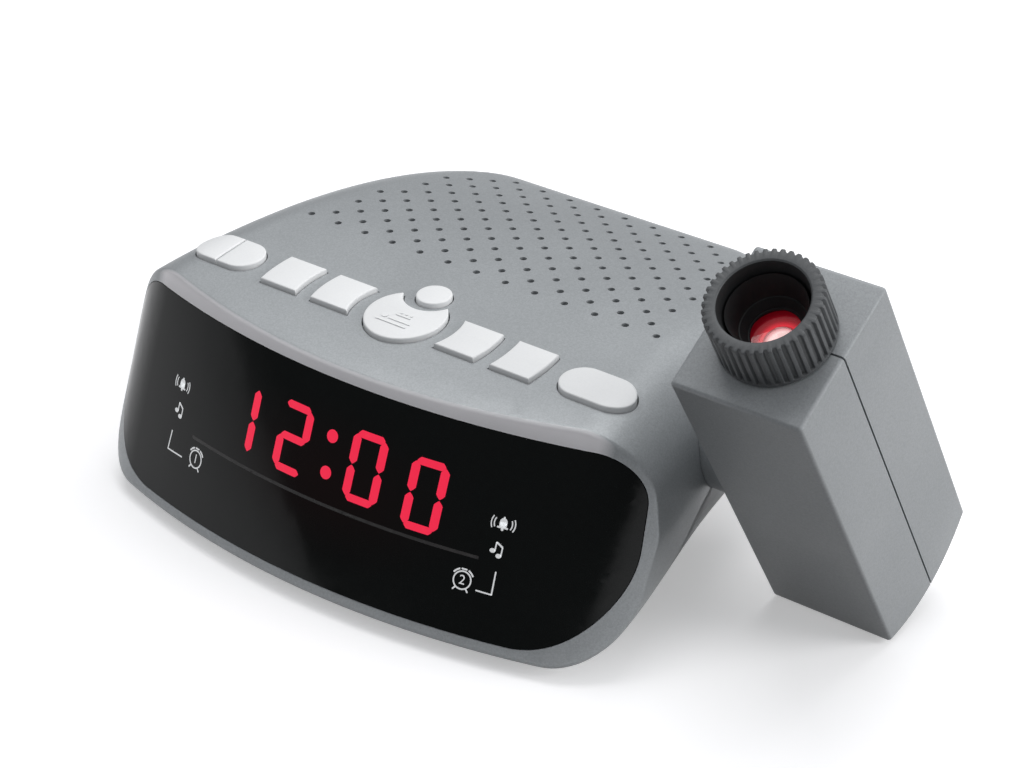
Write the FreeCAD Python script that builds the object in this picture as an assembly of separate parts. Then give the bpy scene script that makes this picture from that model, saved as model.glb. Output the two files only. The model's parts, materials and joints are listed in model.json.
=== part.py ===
import FreeCAD, Part
import math
import os
from FreeCAD import Vector as V

os.makedirs("parts", exist_ok=True)

# Projection alarm clock with a speaker in its top and a swivelling projector on its right side.
# Working frame, millimetres: X to the clock's right as seen from the front, Y towards the back, Z up,
# the table at Z = 0, the case's plane of symmetry at X = 0, the front row of speaker holes at Y = 0.
# The finished pieces are moved at the end so that the origin lies under the middle of the whole clock.

X_AXIS = V(1, 0, 0)
Y_AXIS = V(0, 1, 0)
Z_AXIS = V(0, 0, 1)
FAR = 400.0              # beyond every piece

# Case, outer form
APEX_Z = 61.0            # highest point of the top
UNDERSIDE_Z = 3.0        # flat underside
DOME_R = 274.0           # the top is part of a cylinder that lies along X
FRONT_Y = -50.0          # where the face's line reaches the height of the apex
FACE_LEAN = 20.8         # degrees that the face leans back
FACE_R = 230.0           # bow of the face in plan
FACE_END_R = 32.0        # the face turns into the sides with this radius
FACE_END_X = 88.0
REAR_Y = 72.0
HALF_WIDTH = 77.6        # at Y = 0
SIDE_TAPER = 0.155       # the sides draw in towards the back
SIDE_BOW = 0.0008
SIDE_DRAFT = 4.5         # the top is narrower than the waist by this much on each side
WAIST = 0.55             # height of the widest line, as a share of the case's height
WAIST_R = 18.0
REAR_CORNER_R = 26.0
REAR_EDGE_R = 10.0
SHOULDER_R = 20.0
BELLY_FRONT_R = 18.0
BELLY_REAR_R = 30.0
TUCK_FRONT = 1.0         # how far the underside's edge stands in from the waist
TUCK_REAR = 8.0
LOFT_DEGREE = 3          # cubic surfaces between the case's sections
LIP_R = 1.6              # rounding of the edge round the face

# Case, walls and joint between the two shells
WALL = 2.2
FRONT_WALL = 4.6
SEAM_Z = 33.4
SEAM_GAP = 0.5
FRAME_DEPTH = 9.0        # how far the front frame reaches back from the face
TONGUE_T = 1.0
TONGUE_RISE = 2.0
TONGUE_ROOT = 4.0
FIT = 0.15               # clearance of pieces that seat in each other
AIR = 0.3                # clearance between curved faces of different bodies

# Speaker grille
HOLE_PITCH = 9.1
ROW_PITCH = HOLE_PITCH / 2
HOLE_R = 0.95
ROW_HOLES = (13, 12, 11, 12, 11, 12, 11, 10, 11, 10, 11, 10, 9, 8)

# Display window
WINDOW_HALF = 80.4
WINDOW_TOP = 53.4
WINDOW_BOTTOM = 6.5
WINDOW_SIDE_Z = 30.0
WINDOW_UPPER_R = 13.0
WINDOW_LOWER_R = 23.0
WINDOW_T = 2.2
OPENING_HALF = 56.0        # hole behind the window
OPENING_Z = (14.0, 49.0)
OPENING_R = 5.0

# Keys
KEY_FRONT_Y = -34.4
KEY_BACK_Y = -22.3
SNOOZE_Y = -28.2
SNOOZE_R = 10.45
DIMMER_Y = -17.0
DIMMER_R = 4.55
DIMMER_NOTCH_R = 7.7
INNER_KEY_R = (14.95, 26.2)
OUTER_KEY_R = (30.9, 42.3)
OVAL_X = 57.3
OVAL_LENGTH = 20.0
OVAL_WIDTH = 11.8
OVAL_SPLIT = 0.4
KEY_PROUD = 1.3
KEY_GAP = 0.35
KEY_TRAVEL = 0.7
KEY_SKIRT = 0.9
KEY_STEM_R = 1.5
KEY_ROUND = 0.45
KEY_RIM_BAND = 4.0       # the rims of all caps lie no further than this below the apex
KEY_SINK = 1.9           # height of a cap between its skirt's lowest top and its foot

# Boards
BOARD_T = 1.6
KEY_BOARD_Z = 46.0
KEY_BOARD_X = (-69.0, 61.5)
KEY_BOARD_Y = (-35.5, -12.5)
SWITCH_SIZE = 6.0
SWITCH_H = 3.5
SWITCH_PLUNGER_H = 1.0
SWITCH_PLUNGER_R = 1.7
MAIN_BOARD_Z = 20.0
SCREW_R = 1.25
SCREW_HEAD_R = 2.6
SCREW_HEAD_H = 1.8
SMALL_SCREW_R = 1.0
SMALL_HEAD_R = 2.0
SMALL_HEAD_H = 1.4
THREAD_CLEAR = 0.02

# Projector arm, upright about its pivot, before it is tilted
PIVOT_Y = -2.4
PIVOT_Z = 42.8
ARM_TILT = 32.0          # degrees that the lens leans forward at rest
ARM_INNER_X = 91.0
ARM_WIDTH = 33.0
ARM_DEPTH = 38.6
ARM_TOP = 60.0
ARM_END_R = 42.0
ARM_WALL = 2.0
ARM_SEAM = 0.5
ARM_EDGE_R = 1.0

# Pivot
BUSH_R = 13.0
BUSH_INNER_X = 61.8
BUSH_GROOVE_X = (63.0, 66.0)
BUSH_GROOVE_R = 11.5
BUSH_GAP = 0.3
SADDLE_HALF = 13.5       # half the width of the ribs that hold the bush
SHAFT_R = 7.0
SHAFT_BORE_R = 4.5
SHAFT_CLEAR = 0.06
SHAFT_INNER_X = 58.0
CLIP_X = (59.3, 60.4)
CLIP_R = 9.0
CLIP_SEAT_R = 6.0
WASHER_X = (60.5, 61.6)
WASHER_R = 10.0
SHAFT_FLANGE_R = 11.0
SHAFT_FLANGE_T = 2.0

# Focus ring and optics, measured along the lens axis from the pivot
RING_R = 13.5
RING_H = 13.0
RING_GAP = 0.4
RING_RIBS = 42
RING_RIB_DEPTH = 0.7
RING_LIP = 0.8           # plain band above and below the ribs
RING_NECK_R = 11.0
RING_BORE_R = 9.6
RING_SNAP_R = 12.2
RING_SNAP_T = 1.4
CARRIER_R = 9.2
CARRIER_BORE_R = 7.6
CARRIER_H = 18.0
LENS_R = 7.5
LENS_T = 4.5
TUNNEL_HALF = 9.0
TUNNEL_T = 1.2


def box(x0, x1, y0, y1, z0, z1):
    """A block between two corners."""
    return Part.makeBox(x1 - x0, y1 - y0, z1 - z0, V(x0, y0, z0))


def rod(x, y, z0, z1, r):
    """An upright cylinder."""
    return Part.makeCylinder(r, z1 - z0, V(x, y, z0))


def bar(x0, x1, y, z, r):
    """A cylinder along X."""
    return Part.makeCylinder(r, x1 - x0, V(x0, y, z), X_AXIS)


def tube(x, y, z0, z1, r_out, r_in):
    """An upright tube."""
    return rod(x, y, z0, z1, r_out).cut(rod(x, y, z0, z1, r_in))


def rounded_wire(corners, radii, lift):
    """A closed wire of lines and tangent arcs through rounded corners, placed by lift(a, b)."""
    flat = [V(a, b, 0) for a, b in corners]
    count = len(flat)
    spans = []
    for i, corner in enumerate(flat):
        back = (flat[i - 1] - corner).normalize()
        on = (flat[(i + 1) % count] - corner).normalize()
        half = back.getAngle(on) / 2
        middle = (back + on).normalize()
        reach = radii[i] / math.tan(half)
        dip = radii[i] / math.sin(half) - radii[i]
        spans.append((corner + back * reach, corner + middle * dip, corner + on * reach))
    edges = []
    for i, (start, mid, end) in enumerate(spans):
        following = spans[(i + 1) % count][0]
        edges.append(Part.Arc(*[lift(p.x, p.y) for p in (start, mid, end)]).toShape())
        edges.append(Part.LineSegment(lift(end.x, end.y), lift(following.x, following.y)).toShape())
    return Part.Wire(edges)


def draw_in(at, start, r):
    """How far a quarter round of radius r, begun at start, has drawn in."""
    past = max(0.0, at - start)
    return r - math.sqrt(r * r - past * past)


def dome_z(y, inset=0.0):
    """Height of the top's surface, or of one that lies inset below it."""
    return APEX_Z - DOME_R + math.sqrt((DOME_R - inset) ** 2 - y * y)


def case_section(y, inset):
    """The case's outline across X at one Y, drawn in by inset."""
    rear = REAR_Y - inset
    corner_r = REAR_CORNER_R - inset
    edge_r = REAR_EDGE_R - inset
    drop = draw_in(y, rear - edge_r, edge_r)
    half = HALF_WIDTH - SIDE_TAPER * y - SIDE_BOW * y * y - inset
    half -= draw_in(y, rear - corner_r, corner_r)
    top = dome_z(y, inset) - drop
    bottom = UNDERSIDE_Z + inset + drop / 2
    waist = bottom + WAIST * (top - bottom)
    share = min(1.0, max(0.0, (y - FRONT_Y) / -FRONT_Y))
    belly = BELLY_FRONT_R + share * (BELLY_REAR_R - BELLY_FRONT_R) - inset - 1.3 * drop
    tuck = TUCK_FRONT + share * (TUCK_REAR - TUCK_FRONT)
    shoulder = SHOULDER_R - inset - 1.3 * drop
    corners = [(half - SIDE_DRAFT, top), (half, waist), (half - tuck, bottom)]
    corners += [(-x, z) for x, z in reversed(corners)]
    radii = [shoulder, WAIST_R, belly, belly, WAIST_R, shoulder]
    return rounded_wire(corners, radii, lambda a, b: V(a, y, b))


def case_block(inset):
    """The case as a solid with no face cut, drawn in by inset."""
    rear = REAR_Y - inset
    corner_r = REAR_CORNER_R - inset
    stations = [-95.0, -60.0, FRONT_Y / 2, 5.0, rear - corner_r, rear - 0.62 * corner_r]
    stations += [rear - 0.38 * corner_r, rear - 0.19 * corner_r, rear - 0.07 * corner_r, rear - 0.4]
    return Part.makeLoft([case_section(y, inset) for y in stations], True, False, False, LOFT_DEGREE)


def face_plan_depth(x):
    """How far the face stands back at x from where it stands in the middle."""
    centre_x = FACE_END_X - FACE_END_R
    centre_y = FACE_R - math.sqrt((FACE_R - FACE_END_R) ** 2 - centre_x ** 2)
    x = abs(x)
    if x < centre_x * FACE_R / (FACE_R - FACE_END_R):
        return FACE_R - math.sqrt(FACE_R ** 2 - x * x)
    return centre_y - math.sqrt(FACE_END_R ** 2 - (x - centre_x) ** 2)


def face_y(z, x=0.0):
    """Where the face stands at a height."""
    return FRONT_Y + math.tan(math.radians(FACE_LEAN)) * (z - APEX_Z) + face_plan_depth(x)


def behind_face(depth):
    """All that lies behind the face, or behind a surface at this depth in it."""
    back = depth / math.cos(math.radians(FACE_LEAN))
    bow = FACE_R - back
    end_r = FACE_END_R - back
    end_x = FACE_END_X - back
    centre_x = end_x - end_r
    centre_y = FACE_R - math.sqrt((bow - end_r) ** 2 - centre_x ** 2)
    scale = bow / (bow - end_r)
    tangent = V(centre_x * scale, FACE_R + (centre_y - FACE_R) * scale, 0)
    nose = V(0, back, 0)
    turn = math.atan2(FACE_R - tangent.y, tangent.x)
    halfway = V(centre_x + end_r * math.cos(turn / 2), centre_y - end_r * math.sin(turn / 2), 0)
    flank = V(end_x, centre_y, 0)
    far = V(end_x, 2 * REAR_Y + abs(FRONT_Y), 0)

    def mirrored(p):
        return V(-p.x, p.y, p.z)

    edges = [Part.Arc(mirrored(tangent), nose, tangent).toShape(),
             Part.Arc(tangent, halfway, flank).toShape(),
             Part.LineSegment(flank, far).toShape(),
             Part.LineSegment(far, mirrored(far)).toShape(),
             Part.LineSegment(mirrored(far), mirrored(flank)).toShape(),
             Part.Arc(mirrored(flank), mirrored(halfway), mirrored(tangent)).toShape()]
    plan = Part.Face(Part.Wire(edges))
    low, high = -30.0, APEX_Z + 30.0
    lean = math.tan(math.radians(FACE_LEAN))
    plan.translate(V(0, FRONT_Y + lean * (low - APEX_Z), low))
    return plan.extrude(V(0, lean * (high - low), high - low))


def window_prism(inset):
    """The window's outline, drawn in by inset, carried along Y through the front wall."""
    half = WINDOW_HALF - inset
    top = WINDOW_TOP - inset
    bottom = WINDOW_BOTTOM + inset
    corners = [(half - 1.5, top), (half, WINDOW_SIDE_Z), (half - 1.5, bottom)]
    corners += [(-x, z) for x, z in reversed(corners)]
    radii = [WINDOW_UPPER_R - inset, 30.0, WINDOW_LOWER_R - inset]
    wire = rounded_wire(corners, radii + radii[::-1], lambda a, b: V(a, -FAR, b))
    return Part.Face(wire).extrude(V(0, FAR, 0))


def opening_prism():
    """The hole behind the window, carried along Y through the front wall."""
    corners = [(OPENING_HALF, OPENING_Z[1]), (OPENING_HALF, OPENING_Z[0])]
    corners += [(-x, z) for x, z in reversed(corners)]
    wire = rounded_wire(corners, [OPENING_R] * 4, lambda a, b: V(a, -FAR, b))
    return Part.Face(wire).extrude(V(0, FAR, 0))


def lean_place(shape):
    """Lean a piece of the display, drawn with Y as depth behind the face, and put it at its height."""
    shape = shape.copy()
    shape.rotate(V(0, 0, 0), X_AXIS, -FACE_LEAN)
    shape.translate(V(0, face_y(DISPLAY_Z), DISPLAY_Z))
    return shape


def arm_place(shape):
    """Tilt a piece of the arm, drawn upright about the pivot, and put it at the pivot."""
    shape = shape.copy()
    shape.rotate(V(0, 0, 0), X_AXIS, ARM_TILT)
    shape.translate(V(0, PIVOT_Y, PIVOT_Z))
    return shape


def disc(x, y, r):
    """A flat disc at Z = 0."""
    return Part.Face(Part.Wire(Part.makeCircle(r, V(x, y, 0))))


def strip(x0, x1, y0, y1):
    """A flat rectangle at Z = 0."""
    return Part.makePlane(x1 - x0, y1 - y0, V(x0, y0, 0))


def sector_plan(radii, side, grow):
    """A key between two circles about the snooze key; side is -1 on the left and 1 on the right."""
    ring = disc(0, SNOOZE_Y, radii[1] + grow).cut(disc(0, SNOOZE_Y, radii[0] - grow))
    limits = sorted((0, side * 2 * radii[1]))
    return ring.common(strip(limits[0], limits[1], KEY_FRONT_Y - grow, KEY_BACK_Y + grow))


def oval_plan(side, grow):
    """A key with two round ends."""
    end_r = OVAL_WIDTH / 2 + grow
    reach = (OVAL_LENGTH - OVAL_WIDTH) / 2
    x = side * OVAL_X
    body = strip(x - reach, x + reach, SNOOZE_Y - end_r, SNOOZE_Y + end_r)
    return body.fuse([disc(x - reach, SNOOZE_Y, end_r), disc(x + reach, SNOOZE_Y, end_r)]).removeSplitter()


def half_oval_plan(part, grow):
    """One half of the divided key on the left; part is -1 for its left half and 1 for its right half."""
    edge = OVAL_SPLIT / 2 if grow <= 0 else OVAL_SPLIT / 4
    x = -OVAL_X
    limits = sorted((x + part * edge, x + part * OVAL_LENGTH))
    return oval_plan(-1, grow).common(strip(limits[0], limits[1], SNOOZE_Y - OVAL_WIDTH, SNOOZE_Y + OVAL_WIDTH))


def snooze_plan(grow):
    """The round key with a bite for the dimmer key."""
    return disc(0, SNOOZE_Y, SNOOZE_R + grow).cut(disc(0, DIMMER_Y, DIMMER_NOTCH_R - grow))


def dimmer_plan(grow):
    """The small round key behind the snooze key."""
    return disc(0, DIMMER_Y, DIMMER_R + grow)


KEYS = {
    "alarm_one_key": (lambda grow: half_oval_plan(-1, grow), (-OVAL_X - 5.0, SNOOZE_Y)),
    "alarm_two_key": (lambda grow: half_oval_plan(1, grow), (-OVAL_X + 5.0, SNOOZE_Y)),
    "hour_key": (lambda grow: sector_plan(OUTER_KEY_R, -1, grow), (-36.6, SNOOZE_Y)),
    "minute_key": (lambda grow: sector_plan(INNER_KEY_R, -1, grow), (-20.6, SNOOZE_Y)),
    "snooze_key": (snooze_plan, (0.0, SNOOZE_Y - 2.5)),
    "dimmer_key": (dimmer_plan, (0.0, DIMMER_Y)),
    "time_key": (lambda grow: sector_plan(INNER_KEY_R, 1, grow), (20.6, SNOOZE_Y)),
    "projection_key": (lambda grow: sector_plan(OUTER_KEY_R, 1, grow), (36.6, SNOOZE_Y)),
    "radio_key": (lambda grow: oval_plan(1, grow), (OVAL_X, SNOOZE_Y)),
}


def under_dome(inset):
    """A long cylinder under the top's surface, or under one that lies inset below it."""
    return Part.makeCylinder(DOME_R - inset, 2 * FAR, V(-FAR, 0, APEX_Z - DOME_R), X_AXIS)


def make_key(plan, stem, top_form, inner_form):
    """A key cap that follows the top's form, with a skirt that keeps it in and a stem."""
    cap = plan(0).extrude(V(0, 0, 2 * APEX_Z)).common(top_form)
    rim = [e for e in cap.Edges if e.BoundBox.ZMin > APEX_Z - KEY_RIM_BAND]
    cap = cap.makeFillet(KEY_ROUND, rim)
    foot = dome_z(KEY_FRONT_Y - KEY_SKIRT, WALL + AIR) - KEY_SINK - KEY_TRAVEL
    below = box(-FAR, FAR, -FAR, FAR, -FAR, foot)
    skirt = plan(KEY_SKIRT).extrude(V(0, 0, 2 * APEX_Z)).common(inner_form)
    switch_top = KEY_BOARD_Z + BOARD_T + SWITCH_H + SWITCH_PLUNGER_H
    post = rod(stem[0], stem[1], switch_top + KEY_TRAVEL + FIT, foot + FIT, KEY_STEM_R)
    return cap.cut(below).fuse([skirt.cut(below), post]).removeSplitter()


def key_openings():
    """The holes that the keys stand in; the divided key's halves share one."""
    plans = [oval_plan(-1, KEY_GAP), oval_plan(1, KEY_GAP), snooze_plan(KEY_GAP), dimmer_plan(KEY_GAP)]
    for side in (-1, 1):
        plans.append(sector_plan(INNER_KEY_R, side, KEY_GAP))
        plans.append(sector_plan(OUTER_KEY_R, side, KEY_GAP))
    low = KEY_BOARD_Z + BOARD_T
    for plan in plans:
        plan.translate(V(0, 0, low))
    return [plan.extrude(V(0, 0, APEX_Z + KEY_PROUD - low)) for plan in plans]


def grille_holes():
    """Staggered rows of round holes above the speaker."""
    holes = []
    for row, count in enumerate(ROW_HOLES):
        y = row * ROW_PITCH
        for i in range(count):
            x = (i - (count - 1) / 2) * HOLE_PITCH
            holes.append(rod(x, y, SPEAKER_TOP - FIT, APEX_Z + FIT, HOLE_R))
    return holes


# Places that several pieces share
CASE_SCREWS = ((-62.0, -40.0), (62.0, -40.0), (-44.0, 48.0), (44.0, 48.0))
CASE_BOSS_R = 3.6
BOSS_MEET_Z = SEAM_Z - 8.0
CASE_SCREW_SEAT_Z = UNDERSIDE_Z + 6.0
CASE_SCREW_TOP_Z = SEAM_Z + 4.0
FEET = ((-44.0, -50.0), (44.0, -50.0), (-27.0, 54.0), (27.0, 54.0))
FOOT_R = 5.5
FOOT_SEAT = 0.6
KEY_BOARD_SCREWS = ((-47.8, -17.5), (47.8, -17.5), (-9.0, -16.5), (9.0, -16.5))
KEY_SCREW_TOP = KEY_BOARD_Z + BOARD_T + 4.5
SMALL_BOSS_R = 2.6
MAIN_X = 44.0
MAIN_Y = (-6.0, 38.0)
MAIN_SCREWS = ((-40.0, -2.0), (40.0, -2.0), (-40.0, 34.0), (40.0, 34.0))
MAIN_TOP = MAIN_BOARD_Z + BOARD_T
MAIN_SCREW_TIP = MAIN_TOP - 9.0
SPEAKER_Y = 30.0
SPEAKER_R = 28.4
SPEAKER_TOP = 50.0
SPEAKER_SEAT_R = (25.6, 28.8)
SPEAKER_FLANGE_T = 1.6
SPEAKER_SCREW_PLACE_R = 31.0
SPEAKER_HEAD_R = 3.4
SPEAKER_SCREW_TOP = 53.4
MAGNET_TOP = 37.6
MAGNET_R = 14.5
MAGNET_H = 5.0
POLE_R = 6.0
POLE_H = 3.4
SPEAKER_FOOT_R = MAGNET_R + 1.1
SPEAKER_SHEET_T = 1.4
THROAT_R = 8.0
CONE_R = 24.6
CONE_SEAT_Z = 49.2
CONE_TOP = 49.9
CONE_FOLD_R = 22.4       # where the cone meets its flat surround
COIL_R = (6.7, 7.5)
COIL_Z = (38.2, 42.4)
DUST_CAP_Z = (44.6, 45.2)
CELL_R = 5.25
CELL_HALF = 22.25
CELL_NUB_R = 1.9
CELL_NUB = 0.8
CONTACT_T = 0.6
CONTACT_HALF = 4.0
CONTACT_RISE = 3.0       # lower edge of a contact above the underside
CELL_Z = 10.3
CELL_Y = (4.9, 16.1)
BAY_X = 28.0
BAY_Y = (-2.0, 23.0)
BAY_TOP = 15.7
BAY_WALL = 1.2
DOOR_T = 1.6
DOOR_HINGE_Y = BAY_Y[0] + DOOR_T / 2 + AIR
DOOR_HINGE_Z = UNDERSIDE_Z + DOOR_T / 2
DOOR_PIN_R = 0.5
DOOR_PIN_REACH = 1.0
DOOR_PIN_CLEAR = 0.1
NOTCH_R = 8.0            # hollow in the door's edge for a fingertip
NOTCH_DEPTH = 0.8
NOTCH_BACK = 2.0
JACK_X = -22.0
JACK_Z = 16.0
JACK_HALF = (7.0, 5.5)
JACK_Y = (60.0, 69.35)
JACK_NOSE_R = 4.25
JACK_R = 3.1
JACK_PIN_R = 1.0
REAR_FACE = REAR_Y - 0.4
JACK_DEPTH = 9.0
JACK_PIN_L = 8.0
JACK_SHELF = 1.0         # the socket hangs over its shelf by this much in front
VENT_SLOTS = 9
VENT_PITCH = 7.0
VENT_HALF = 1.0
VENT_Y = (30.0, 44.0)
DISPLAY_Z = 35.2
DISPLAY_HALF = 33.5
DISPLAY_HEIGHT = 22.0
DISPLAY_DEPTH = 5.0
DISPLAY_RIM = 0.9
DISPLAY_RECESS = 1.0
FACE_PLATE_SINK = 0.2
FACE_PLATE_GAP = 0.1
DISPLAY_BOARD_DEPTH = 12.0
DISPLAY_SCREW_BITE = 3.0
DISPLAY_BOARD_HALF = 54.0
DISPLAY_BOARD_H = (-25.5, 20.5)
DISPLAY_SCREWS = ((-45.0, -23.5), (45.0, -23.5), (-45.0, 18.5), (45.0, 18.5))
GUIDE_X = (38.0, 53.0)
GUIDE_DEPTH = 8.9
GUIDE_H = (-18.0, 10.0)
LENS_X = ARM_INNER_X + ARM_WIDTH / 2
ARM_SCREWS = ((95.6, 52.0), (119.4, 52.0), (LENS_X, -30.0))
ARM_BOSS_R = 2.3
ARM_SCREW_TIP_Y = -10.0
ARM_HEAD_SINK = 2.5
ARM_ROOT_Y = 2.5         # how far the inner lip of the rear half reaches into it
CLAMP_HALF = TUNNEL_HALF - 2.0
TUNNEL_Z = (-4.0, 50.0)
SLIDE_Z = 19.0
SLIDE_T = 1.8
CONDENSER_Z = 7.0
CONDENSER_R = 7.0
CONDENSER_T = 5.0
CONDENSER_BOW_R = 8.5
SEAT_CLEAR = 0.05
LAMP_R = 2.5
LAMP_H = 4.0
LAMP_WELL_HALF = 5.8
CLAMP_Z = ((2.0, 5.0), (40.0, 43.0))
PRONG_X = (7.9, 9.0)
PRONG_HALF = 1.2
PRONG_TOP = 56.5
CARRIER_Z = 52.0
CARRIER_SLOT_H = 8.0
LENS_SEAT_Z = 57.5
LENS_LEDGE = 0.8         # width of the ledge that the lens rests on
CLIP_OPENING_HALF = 4.0

# Blocks on the main board: left, right, front, back and height
MAIN_CHIP = (-13.0, 1.0, 5.0, 19.0, 2.0)
TUNER_CAN = (16.0, 36.0, 6.0, 22.0, 7.0)
CONNECTORS = ((-12.0, 12.0, -5.0, 0.0, 6.0), (-40.0, -35.0, 8.0, 20.0, 6.0), (24.0, 34.0, 30.0, 35.0, 6.0))
# Capacitors on it: place, height and radius
CAPACITORS = ((-30.0, 14.0, 11.0, 5.0), (-30.0, 26.0, 8.0, 4.0), (-20.0, 10.0, 7.0, 3.0))

nodes = {}


def bosses(places, r, z0, z1):
    """Upright cylinders at several places."""
    return [rod(x, y, z0, z1, r) for x, y in places]


def revolve(points, x, y):
    """A body turned about an upright axis from a closed outline of radii and heights."""
    wire = Part.makePolygon([V(r, 0, z) for r, z in points] + [V(points[0][0], 0, points[0][1])])
    body = Part.Face(wire).revolve(V(0, 0, 0), Z_AXIS, 360)
    body.translate(V(x, y, 0))
    return body


def case_screw(x, y, head_z, top_z, r, head_r, head_h):
    """An upright screw whose head hangs below head_z."""
    return rod(x, y, head_z - head_h, head_z, head_r).fuse(rod(x, y, head_z, top_z, r)).removeSplitter()


def along_depth(x, h, d0, d1, r):
    """A cylinder along the display's depth."""
    return Part.makeCylinder(r, d1 - d0, V(x, d0, h), Y_AXIS)


# Outer and inner forms of the case
case_outer = case_block(0).common(behind_face(0))
face_rim = [edge for edge in case_outer.Edges
            if all(abs(p.y - face_y(p.z, p.x)) < 0.2 for p in edge.discretize(5))]
case_outer = case_outer.makeFillet(LIP_R, face_rim)
case_inner = case_block(WALL).common(behind_face(FRONT_WALL))
case_wall = case_outer.cut(case_inner)

before_face = behind_face(-WALL)
front_zone = before_face.cut(behind_face(FRAME_DEPTH))
front_zone_wide = before_face.cut(behind_face(FRAME_DEPTH + SEAM_GAP))
above_seam = box(-FAR, FAR, -FAR, FAR, SEAM_Z + SEAM_GAP / 2, FAR)
above_seam_wide = box(-FAR, FAR, -FAR, FAR, SEAM_Z - SEAM_GAP / 2, FAR)
hinge_hole = bar(SHAFT_INNER_X, FAR, PIVOT_Y, PIVOT_Z, BUSH_R + FIT)
saddle_bore = bar(SHAFT_INNER_X, FAR, PIVOT_Y, PIVOT_Z, BUSH_GROOVE_R + FIT)
speaker_screw_places = []
for degrees in (35, 145, 270):
    turn = math.radians(degrees)
    speaker_screw_places.append((SPEAKER_SCREW_PLACE_R * math.cos(turn),
                                 SPEAKER_Y + SPEAKER_SCREW_PLACE_R * math.sin(turn)))


def saddle(z0, z1):
    """A rib that fits the groove of the bush."""
    rib = box(BUSH_GROOVE_X[0] + FIT, BUSH_GROOVE_X[1] - FIT, -SADDLE_HALF, SADDLE_HALF, z0, z1)
    rib.translate(V(0, PIVOT_Y, 0))
    return rib.cut(saddle_bore)


def make_top_case():
    """The upper shell with the front frame, the grille and all that hangs from them."""
    shell = case_wall.common(above_seam.fuse(front_zone))
    shell = shell.cut(window_prism(0).cut(behind_face(WINDOW_T)))
    shell = shell.cut(opening_prism())
    shell = shell.cut(hinge_hole)
    shell = shell.cut(key_openings())
    shell = shell.cut(Part.makeCompound(grille_holes()))
    inside = bosses(CASE_SCREWS, CASE_BOSS_R, BOSS_MEET_Z, APEX_Z)
    inside += bosses(KEY_BOARD_SCREWS, SMALL_BOSS_R, KEY_BOARD_Z + BOARD_T, APEX_Z)
    inside += bosses(speaker_screw_places, SMALL_BOSS_R, SPEAKER_TOP, APEX_Z)
    inside.append(tube(0, SPEAKER_Y, SPEAKER_TOP, APEX_Z, SPEAKER_SEAT_R[1], SPEAKER_SEAT_R[0]))
    inside.append(saddle(PIVOT_Z + SADDLE_HALF / 2, APEX_Z))
    posts = [lean_place(along_depth(x, h, DISPLAY_DEPTH, DISPLAY_BOARD_DEPTH, SMALL_BOSS_R))
             for x, h in DISPLAY_SCREWS]
    inside = [piece.common(case_inner) for piece in inside + posts]
    shell = shell.fuse([solid for piece in inside for solid in piece.Solids])
    small = SMALL_SCREW_R + THREAD_CLEAR
    cutters = bosses(CASE_SCREWS, SCREW_R + THREAD_CLEAR, BOSS_MEET_Z - AIR, CASE_SCREW_TOP_Z + AIR)
    cutters += bosses(KEY_BOARD_SCREWS, small, KEY_BOARD_Z, KEY_SCREW_TOP + AIR)
    cutters += bosses(speaker_screw_places, small, SPEAKER_TOP - AIR, SPEAKER_SCREW_TOP + AIR)
    pilot = DISPLAY_BOARD_DEPTH - DISPLAY_SCREW_BITE - AIR
    for x, h in DISPLAY_SCREWS:
        cutters.append(lean_place(along_depth(x, h, pilot, DISPLAY_BOARD_DEPTH + AIR, small)))
    return shell.cut(cutters)


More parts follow.
